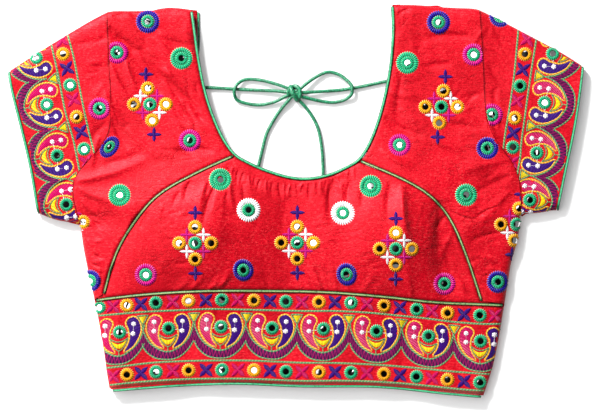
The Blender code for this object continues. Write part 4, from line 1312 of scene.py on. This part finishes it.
def couched(name, line, count, width):
    return line_strip(name, evenly(smooth(line), count), width, RAISED_LINE)


FILL, THIN_FILL, RAISED_LINE, LINK = 0.38 * MM, 0.30 * MM, 0.70 * MM, 0.45 * MM
triangle_sides = [TRIANGLE[2], TRIANGLE[0], TRIANGLE[1], TRIANGLE[2]]
triangle_line = np.vstack([evenly(np.array(pair, dtype=float), 4)[:-1]
                           for pair in zip(triangle_sides, triangle_sides[1:])])
triangle_line = np.vstack([triangle_line, triangle_line[:1]])
SCALLOP = [
    ("rose", filled("pink_paisley", PAISLEY_OUTER, PAISLEY_INNER, FILL)),
    ("violet", filled("blue_paisley", turned_over(PAISLEY_OUTER), turned_over(PAISLEY_INNER),
                      FILL)),
    ("orange", round_the("pink_edge", PAISLEY_OUTER, PAISLEY_INNER, 1.9, RAISED_LINE)),
    ("orange", round_the("blue_edge", turned_over(PAISLEY_OUTER), turned_over(PAISLEY_INNER),
                         1.9, RAISED_LINE)),
    ("gold", filled("crescent", CRESCENT_TOP, CRESCENT_FOOT, THIN_FILL, 8, 3)),
    ("line", couched("leaf_top", LEAF_TOP, 10, 1.3)),
    ("line", couched("leaf_foot", LEAF_FOOT, 18, 1.3)),
    ("line", line_strip("stem", STEM, 1.2, RAISED_LINE)),
    ("line", couched("inner_arc", INNER_ARC, 40, 1.9)),
    ("line", couched("outer_arc", OUTER_ARC, 36, 1.7)),
    ("swag", filled("swag", SWAG_TOP, OUTER_ARC, FILL, 34, 4)),
    ("white", line_strip("left_link", WHITE_DOTS[:2], 0.9, LINK)),
    ("white", line_strip("right_link", WHITE_DOTS[2:], 0.9, LINK)),
    ("white", line_strip("left_tie", [WHITE_DOTS[1], (-6.6, 1.2)], 0.8, 0.4 * MM)),
    ("white", line_strip("right_tie", [(7.4, 1.2), WHITE_DOTS[3]], 0.8, 0.4 * MM)),
]
CUSP = [
    ("swag", strip("cusp_fill", [(-0.5, -0.5), (-2.0, 4.5), (-2.3, 9.5), (-0.3, 13.6)],
                   [(0.5, -0.5), (2.0, 4.5), (2.3, 9.5), (0.3, 13.6)], THIN_FILL)),
    ("gold", strip("triangle_fill", [(-4.0, -13.4), (-0.4, -6.6)], [(4.0, -13.4), (0.4, -6.6)],
                   FILL)),
    ("line", line_strip("triangle_edge", triangle_line, 1.7, RAISED_LINE)),
]
print("scallop strips:", len(SCALLOP), "faces:", sum(len(mesh.polygons) for _, mesh in SCALLOP))

# %% [markdown]
# ## Sewing the motifs on
#
# A place turns a template's own squares into squares of the layout sheet: moved and turned for a
# single motif, leaned over for a cluster on a stretched panel, or bent to the border's lines.


# %% Places
def at(u, v, turn=0.0, size=1.0, lean=0.0):
    """A place for a template: turn is in degrees, and lean moves it sideways as b grows."""
    c, s = math.cos(math.radians(turn)), math.sin(math.radians(turn))

    def place(a, b):
        return u + size * (a * c - b * s + lean * b), v + size * (a * s + b * c)
    return place


def along_border(upper, lower, middle):
    """The scallop's place between two lines of the border, round this u."""
    def place(a, b):
        u = middle + a
        top = np.interp(u, upper[:, 0], upper[:, 1])
        foot = np.interp(u, lower[:, 0], lower[:, 1])
        return u, top + (b - LINE_2) / (LINE_3 - LINE_2) * (foot - top)
    return place


def on_frame(u, v, a_way, b_way, a_size=1.0, b_size=1.0):
    """A place with its own directions and sizes for a and b."""
    def place(a, b):
        return (u + a_size * a * a_way[0] + b_size * b * b_way[0],
                v + a_size * a * a_way[1] + b_size * b * b_way[1])
    return place


SEWN = {}
mirror_tilts = np.random.default_rng(11)
TILT = 0.085              # the usual slope of a mirror that doesn't lie quite flat


def sew(panel, kind, mesh, place=None, tilt=(0.0, 0.0)):
    """Copy a template to a place on a panel's layout."""
    copy = mesh.copy()
    points = coordinates(copy)
    points[:, 2] += (points[:, 0] * tilt[0] + points[:, 1] * tilt[1]) * SQUARE
    u, v = points[:, 0], points[:, 1]
    if place:
        u, v = place(u, v)
    points[:, 0], points[:, 1] = metres(u, v)
    move_vertices(copy, points)
    if sum(p.normal.z * p.area for p in copy.polygons) < 0:
        copy.flip_normals()
    SEWN.setdefault((panel, kind), []).append(copy)


def small_mirror(panel, colour, place):
    sew(panel, colour, SMALL_RING, place)
    sew(panel, "mirror", GLASS, place, mirror_tilts.normal(0, TILT, 2))


def squeezed(place, share):
    """The same place with its first direction drawn in, as where the cloth turns away."""
    return lambda a, b: place(a * share, b)


def wide_mirror(panel, colour, u, v, size=1.0, squeeze=1.0, turn=0.0):
    sew(panel, colour, WIDE_RING, squeezed(at(u, v, turn, size), squeeze))
    place = squeezed(at(u, v, turn), squeeze)
    sew(panel, "green", EYE_RING, place)
    sew(panel, "mirror", GLASS, place, mirror_tilts.normal(0, TILT, 2))


def flower(panel, colour, mesh, u, v, turn, size=1.0):
    for k in range(4):
        sew(panel, colour, mesh, at(u, v, turn + 90 * k, size))


def sew_all(panel, parts, place):
    for kind, mesh in parts:
        sew(panel, kind, mesh, place)


def scallop(panel, place):
    sew_all(panel, SCALLOP, place)
    for a, b in WHITE_DOTS:
        sew(panel, "white", DOT, at(*place(a, b)))
    small_mirror(panel, "green", at(*place(EYE_AT, 0.0)))


print("places ready")

# %% [markdown]
# ## The border on the band
#
# Three long lines and the piped seam divide the band. Rows of mirrors and four-petalled flowers
# run above and below the scallops, and a narrow zigzag fills the last space before the hem.

# %% Lines of the band
BAND_LINES = {
    1: [(93, 298.6), (122, 297.2), (150, 294.4), (178, 291.8), (206, 290.6), (234, 289.7),
        (262, 290.8), (300, 292.4), (350, 293), (378, 295.8), (406, 299.3), (434, 302.8),
        (462, 305.6), (505, 307)],
    2: [(88, 317), (97, 316), (125.5, 313.4), (151, 311.5), (182, 310.2), (208, 309),
        (240, 309.5), (300, 311), (335, 311), (370, 312.8), (398, 315.6), (426, 318.4),
        (454, 322), (482, 324), (500.6, 324), (510, 324)],
    3: [(96, 369.2), (106, 368.2), (125.5, 366), (151, 363), (176.5, 361.6), (215, 360.6),
        (253, 360.8), (300, 362.8), (342, 363.3), (384, 365.4), (426, 369), (454, 371.7),
        (491, 374.5), (500, 375)],
    4: [(100, 386.4), (109, 385.4), (138, 382.2), (176.5, 379.7), (215, 378.8), (253, 379),
        (300, 381), (342, 380.8), (384, 382.2), (426, 385.8), (468, 390), (485, 390.7),
        (496, 391)],
    "hem": [(103, 392.8), (111, 392), (145, 388.8), (177, 386.7), (215, 385.4), (240, 385.4),
            (266, 386.3), (300, 388), (342, 387), (377, 388), (412, 390.6), (440, 394),
            (468, 397), (483, 398.5), (492, 399)],
}
LINE_WIDTH, LINE_RISE = 2.2, 0.5 * MM
BAND_LINES = {key: smooth(points) for key, points in BAND_LINES.items()}
for key in (2, 3, 4):
    line = evenly(BAND_LINES[key], 240)
    sew("front_band", "line", line_strip(f"band_line_{key}", line, LINE_WIDTH, LINE_RISE, 3))
zigzag_top = evenly(BAND_LINES[4] + (0, 0.8), 160)
zigzag_foot = evenly(BAND_LINES["hem"] - (0, 2.0), 160)
sew("front_band", "hem_zigzag", strip("hem_zigzag", zigzag_top, zigzag_foot, 0.2 * MM))

# %% Rows of mirrors and flowers
ROW_KINDS = (("green", "mirror"), ("rose", "flower"), ("yellow", "mirror"), ("violet", "flower"))
ROW_U = (99, 113, 127, 141, 156, 173, 188.6, 206, 222, 238, 254, 270, 286, 302, 319, 335, 351,
         367, 384, 400, 416.7, 432, 447.6, 464, 480, 495)


def between(upper, lower, u):
    return (np.interp(u, upper[:, 0], upper[:, 1]) + np.interp(u, lower[:, 0], lower[:, 1])) / 2


def row_element(panel, number, u, v, turn=0.0):
    """The kinds take turns along a row."""
    colour, what = ROW_KINDS[number % len(ROW_KINDS)]
    if what == "mirror":
        small_mirror(panel, colour, at(u, v))
    else:
        flower(panel, colour, ROW_PETAL, u, v, 45 + turn)


for upper, lower in ((1, 2), (3, 4)):
    for number, u in enumerate(ROW_U):
        v = between(BAND_LINES[upper], BAND_LINES[lower], u) + 0.3
        row_element("front_band", number, u, v)
print("row elements:", 2 * len(ROW_U))

# %% Scallops of the band
SCALLOP_U = (119, 168, 220.5, 271.6, 323, 376, 428, 480)
CUSP_U = (93.5, 142.7, 194.1, 246.7, 297, 349.1, 401.7, 454.3, 505)
for u in SCALLOP_U:
    scallop("front_band", along_border(BAND_LINES[2], BAND_LINES[3], u))
for u in CUSP_U:
    sew_all("front_band", CUSP, along_border(BAND_LINES[2], BAND_LINES[3], u))
print("scallops:", len(SCALLOP_U))

# %% [markdown]
# ## The sleeves' borders
#
# The same border turns the corner and runs down each sleeve, with its scallops towards the cuff.
# The underarm seam and the fold at the top cut through it, as they cut through the cloth.

# %% Sleeve borders
# For each sleeve: which ways a and b run, its two long lines, the middles of its scallops, its
# cusps, and the places of the mirrors and flowers that take turns in its row.
SLEEVES = {
    "sleeve_left": {
        "ways": ((0.209, 0.978), (-0.978, 0.209)),
        "lines": [[(63, 18), (67, 33.2), (73.3, 56), (80.4, 92), (88, 128), (94.4, 153.8),
                   (99, 176)],
                  [(47, 26), (51, 44), (57.4, 71.4), (65, 110), (73.3, 140), (79.7, 171.6),
                   (86, 202)]],
        "mirrors": [(36, 57), (46.6, 104), (57, 155), (66.3, 204)],
        "cusps": [(43.5, 81), (53.5, 130), (63.8, 180.5)],
        "row": [(61.5, 40), (63, 54), (66.8, 68.5), (70, 85), (73.2, 99.5), (76.8, 117),
                (81, 132), (84, 149), (86.5, 162)],
    },
    "sleeve_right": {
        "ways": ((-0.14, 0.99), (0.99, 0.14)),
        "lines": [[(521, 8), (518.6, 29.6), (513.5, 81.6), (504.6, 139), (502, 165)],
                  [(540, 20), (536.5, 39.5), (529.5, 84.2), (521.8, 140), (520.5, 156),
                   (517.3, 175.3), (515, 200)]],
        "mirrors": [(553, 53), (544.8, 102), (537, 152.3), (530, 199.5)],
        "cusps": [(549, 77.5), (541, 127.5), (534, 176.5)],
        "row": [(527.6, 39.5), (525, 54.2), (523, 69.5), (520.2, 86), (517.3, 100.8),
                (514.8, 118), (513.5, 133), (512.9, 147.4), (512, 162)],
    },
}
MOTIF_PITCH = 51.5        # squares from one scallop to the next where a's size is 1
SLEEVE_DEPTH = 0.95       # the size of b
for panel, border in SLEEVES.items():
    for number, line in enumerate(border["lines"]):
        line = evenly(smooth(line), 110)
        sew(panel, "line", line_strip(f"{panel}_line_{number}", line, LINE_WIDTH, LINE_RISE, 3))
    a_way = border["ways"][0]
    tip = math.degrees(math.atan2(a_way[1], a_way[0])) - 90
    for number, (u, v) in enumerate(border["row"], 1):
        row_element(panel, number, u, v, tip)
    pitches = np.linalg.norm(np.diff(border["mirrors"], axis=0), axis=1)
    widths = (np.append(pitches[:1], pitches) + np.append(pitches, pitches[-1:])) / 2
    for (u, v), width in zip(border["mirrors"], widths):
        scallop(panel, on_frame(u, v, *border["ways"], width / MOTIF_PITCH, SLEEVE_DEPTH))
    for u, v in border["cusps"]:
        sew_all(panel, CUSP, on_frame(u, v, *border["ways"], 0.97, SLEEVE_DEPTH))
print("sleeve scallops:", sum(len(border["mirrors"]) for border in SLEEVES.values()))

# %% [markdown]
# ## Motifs on the field
#
# Wide mirrors lie scattered over the plain silk, and clusters of five small mirrors with little
# flowers between them mark the middle of each panel. A motif that meets a seam is cut by it.

# %% Wide mirrors
# Colour, u and v, and then size, squeeze and turn where they aren't 1, 1 and 0.
WIDE_MIRRORS = {
    "front_side_left": [("blue", 147.7, 21.4, 1.06), ("pink", 117, 52.5), ("green", 181.4, 58.3),
                        ("blue", 109.5, 147, 1.08, 0.70, 38), ("pink", 190, 140.6),
                        ("green", 120, 195.2), ("blue", 89.8, 281)],
    "sleeve_left": [("pink", 99.5, 108.7)],
    "front_centre": [("green", 220.5, 179.5), ("green", 370.5, 186.3), ("white", 248.8, 210, 1.05),
                     ("white", 342.7, 213, 1.05), ("pink", 146.2, 274.7), ("pink", 444.4, 283.8),
                     ("blue", 243.5, 270, 1.0, 0.92, -12), ("blue", 346.6, 274.3, 1.04, 0.88, -16)],
    "front_side_right": [("green", 407.4, 62.8), ("blue", 438.6, 22.3, 1.06), ("pink", 473.7, 54.6),
                         ("pink", 399.5, 145), ("blue", 487.4, 148.2), ("green", 466, 195),
                         ("blue", 498, 282)],
    "sleeve_right": [("pink", 491.8, 114.8), ("blue", 500.5, 16)],
}
for panel, rings in WIDE_MIRRORS.items():
    for colour, *spot_and_size in rings:
        wide_mirror(panel, colour, *spot_and_size)
print("wide mirrors:", sum(len(rings) for rings in WIDE_MIRRORS.values()))

# %% Clusters
# Panel, u and v, how far the cluster leans, and the colours of its four small flowers.
ARM, FLOWER_ARM, TALL_ARM = 16.0, 8.3, 30.2
CLUSTERS = [
    ("front_side_left", 149.9, 104.3, 0.14, ("white", "pink")),
    ("front_centre", 195.8, 243.0, 0.0, ("pink", "white")),
    ("front_centre", 297.3, 242.7, 0.0, ("pink", "white")),
    ("front_centre", 395.3, 248.7, 0.0, ("pink", "white")),
    ("front_side_right", 441.5, 106.9, -0.13, ("pink", "white")),
    ("front_side_right", 516.8, 224.5, -0.15, ("pink", "white")),
    ("front_side_left", 67.0, 222.0, 0.1, ("white", "pink")),
]
for panel, u, v, lean, (first, second) in CLUSTERS:
    spot = at(u, v, lean=lean)
    small_mirror(panel, "green", at(u, v))
    for a, b in ((ARM, 0), (-ARM, 0), (0, ARM), (0, -ARM)):
        small_mirror(panel, "yellow", at(*spot(a, b)))
    for colour, a, b in ((first, -1, -1), (second, 1, -1), (second, -1, 1), (first, 1, 1)):
        flower(panel, colour, SLIM_PETAL, *spot(a * FLOWER_ARM, b * FLOWER_ARM), 0)
    for b in (-TALL_ARM, TALL_ARM):
        flower(panel, "violet", ROW_PETAL, *spot(0, b), 0, 0.82)
print("clusters:", len(CLUSTERS))

# %% [markdown]
# ## Laying the stitches on the cloth
#
# The motifs are still flat. Each vertex now drops straight down onto its panel and rises off it
# by its own height, square to the cloth. What falls past the panel's edge is cut away.


# %% Drop, cut and join
def dropped(mesh, tree):
    """Lay a mesh on the cloth under it, and cut away what misses the cloth."""
    bm = bmesh.new()
    bm.from_mesh(mesh)
    missed = []
    for vert in bm.verts:
        spot, normal, _face, _distance = tree.ray_cast(Vector((vert.co.x, vert.co.y, SKY)), DOWN)
        if spot is None:
            missed.append(vert)
        else:
            vert.co = spot + normal * vert.co.z
    bmesh.ops.delete(bm, geom=missed, context="VERTS")
    bm.to_mesh(mesh)
    bm.free()


THREAD["mirror"] = MIRROR
trees = {panel: tree_of(CLOTH[panel]) for panel in {key[0] for key in SEWN}}
for (panel, kind), meshes in sorted(SEWN.items()):
    pieces = []
    for mesh in meshes:
        dropped(mesh, trees[panel])
        if mesh.polygons:
            pieces.append(in_scene(mesh.name, mesh))
    if pieces:
        finished(joined(f"{panel}_{kind}_work", pieces), THREAD[kind])
work_faces = sum(len(o.data.polygons) for o in bpy.data.objects if o.name.endswith("_work"))
print("embroidery faces:", work_faces)

# %% [markdown]
# ## Hooks
#
# Four wire hooks close the back, between its two lapped halves. A hook's solid is already a bent
# wire of the right size, so it stays, and only its finish is made: drawn wire with thin lines along
# it, plated, and rubbed through to the brass in spots. Bare metal would be too even for a fitting
# that is fastened and washed often.

# %% Hook wire
def plated_wire(name, plating, rubbed_through):
    wire = Recipe(name, plating)
    place = wire.place()
    drawn = wire.threads(place, (700, 5200, 5200), 3.0, 0.6)
    wear_and_painted_highlight = wire.ramp(wire.noise(place, 900.0, 3.0, 0.6), 0.54, 0.70)
    tone = wire.mix(wire.ramp(drawn, 0.3, 0.7), dimmed(plating, 0.8), plating)
    tone = wire.mix(wire.times(wear_and_painted_highlight, 0.6), tone, rubbed_through)
    return wire.surface(Base_Color=tone, Metallic=1.0, Normal=wire.bump(drawn, 0.0001, 0.5),
                        Roughness=wire.ramp(wear_and_painted_highlight, 0.0, 1.0, 0.28, 0.45))


HOOK_WIRE = plated_wire("plated_hook_wire", (0.62, 0.61, 0.58), (0.50, 0.38, 0.20))
hooks = [hook for node, hook in frame["nodes"].items() if node.startswith("back_hook")]
for hook in hooks:
    for spot in hook.material_slots:
        spot.material = HOOK_WIRE
print("hooks finished:", len(hooks), "with", [len(hook.material_slots) for hook in hooks], "slots")
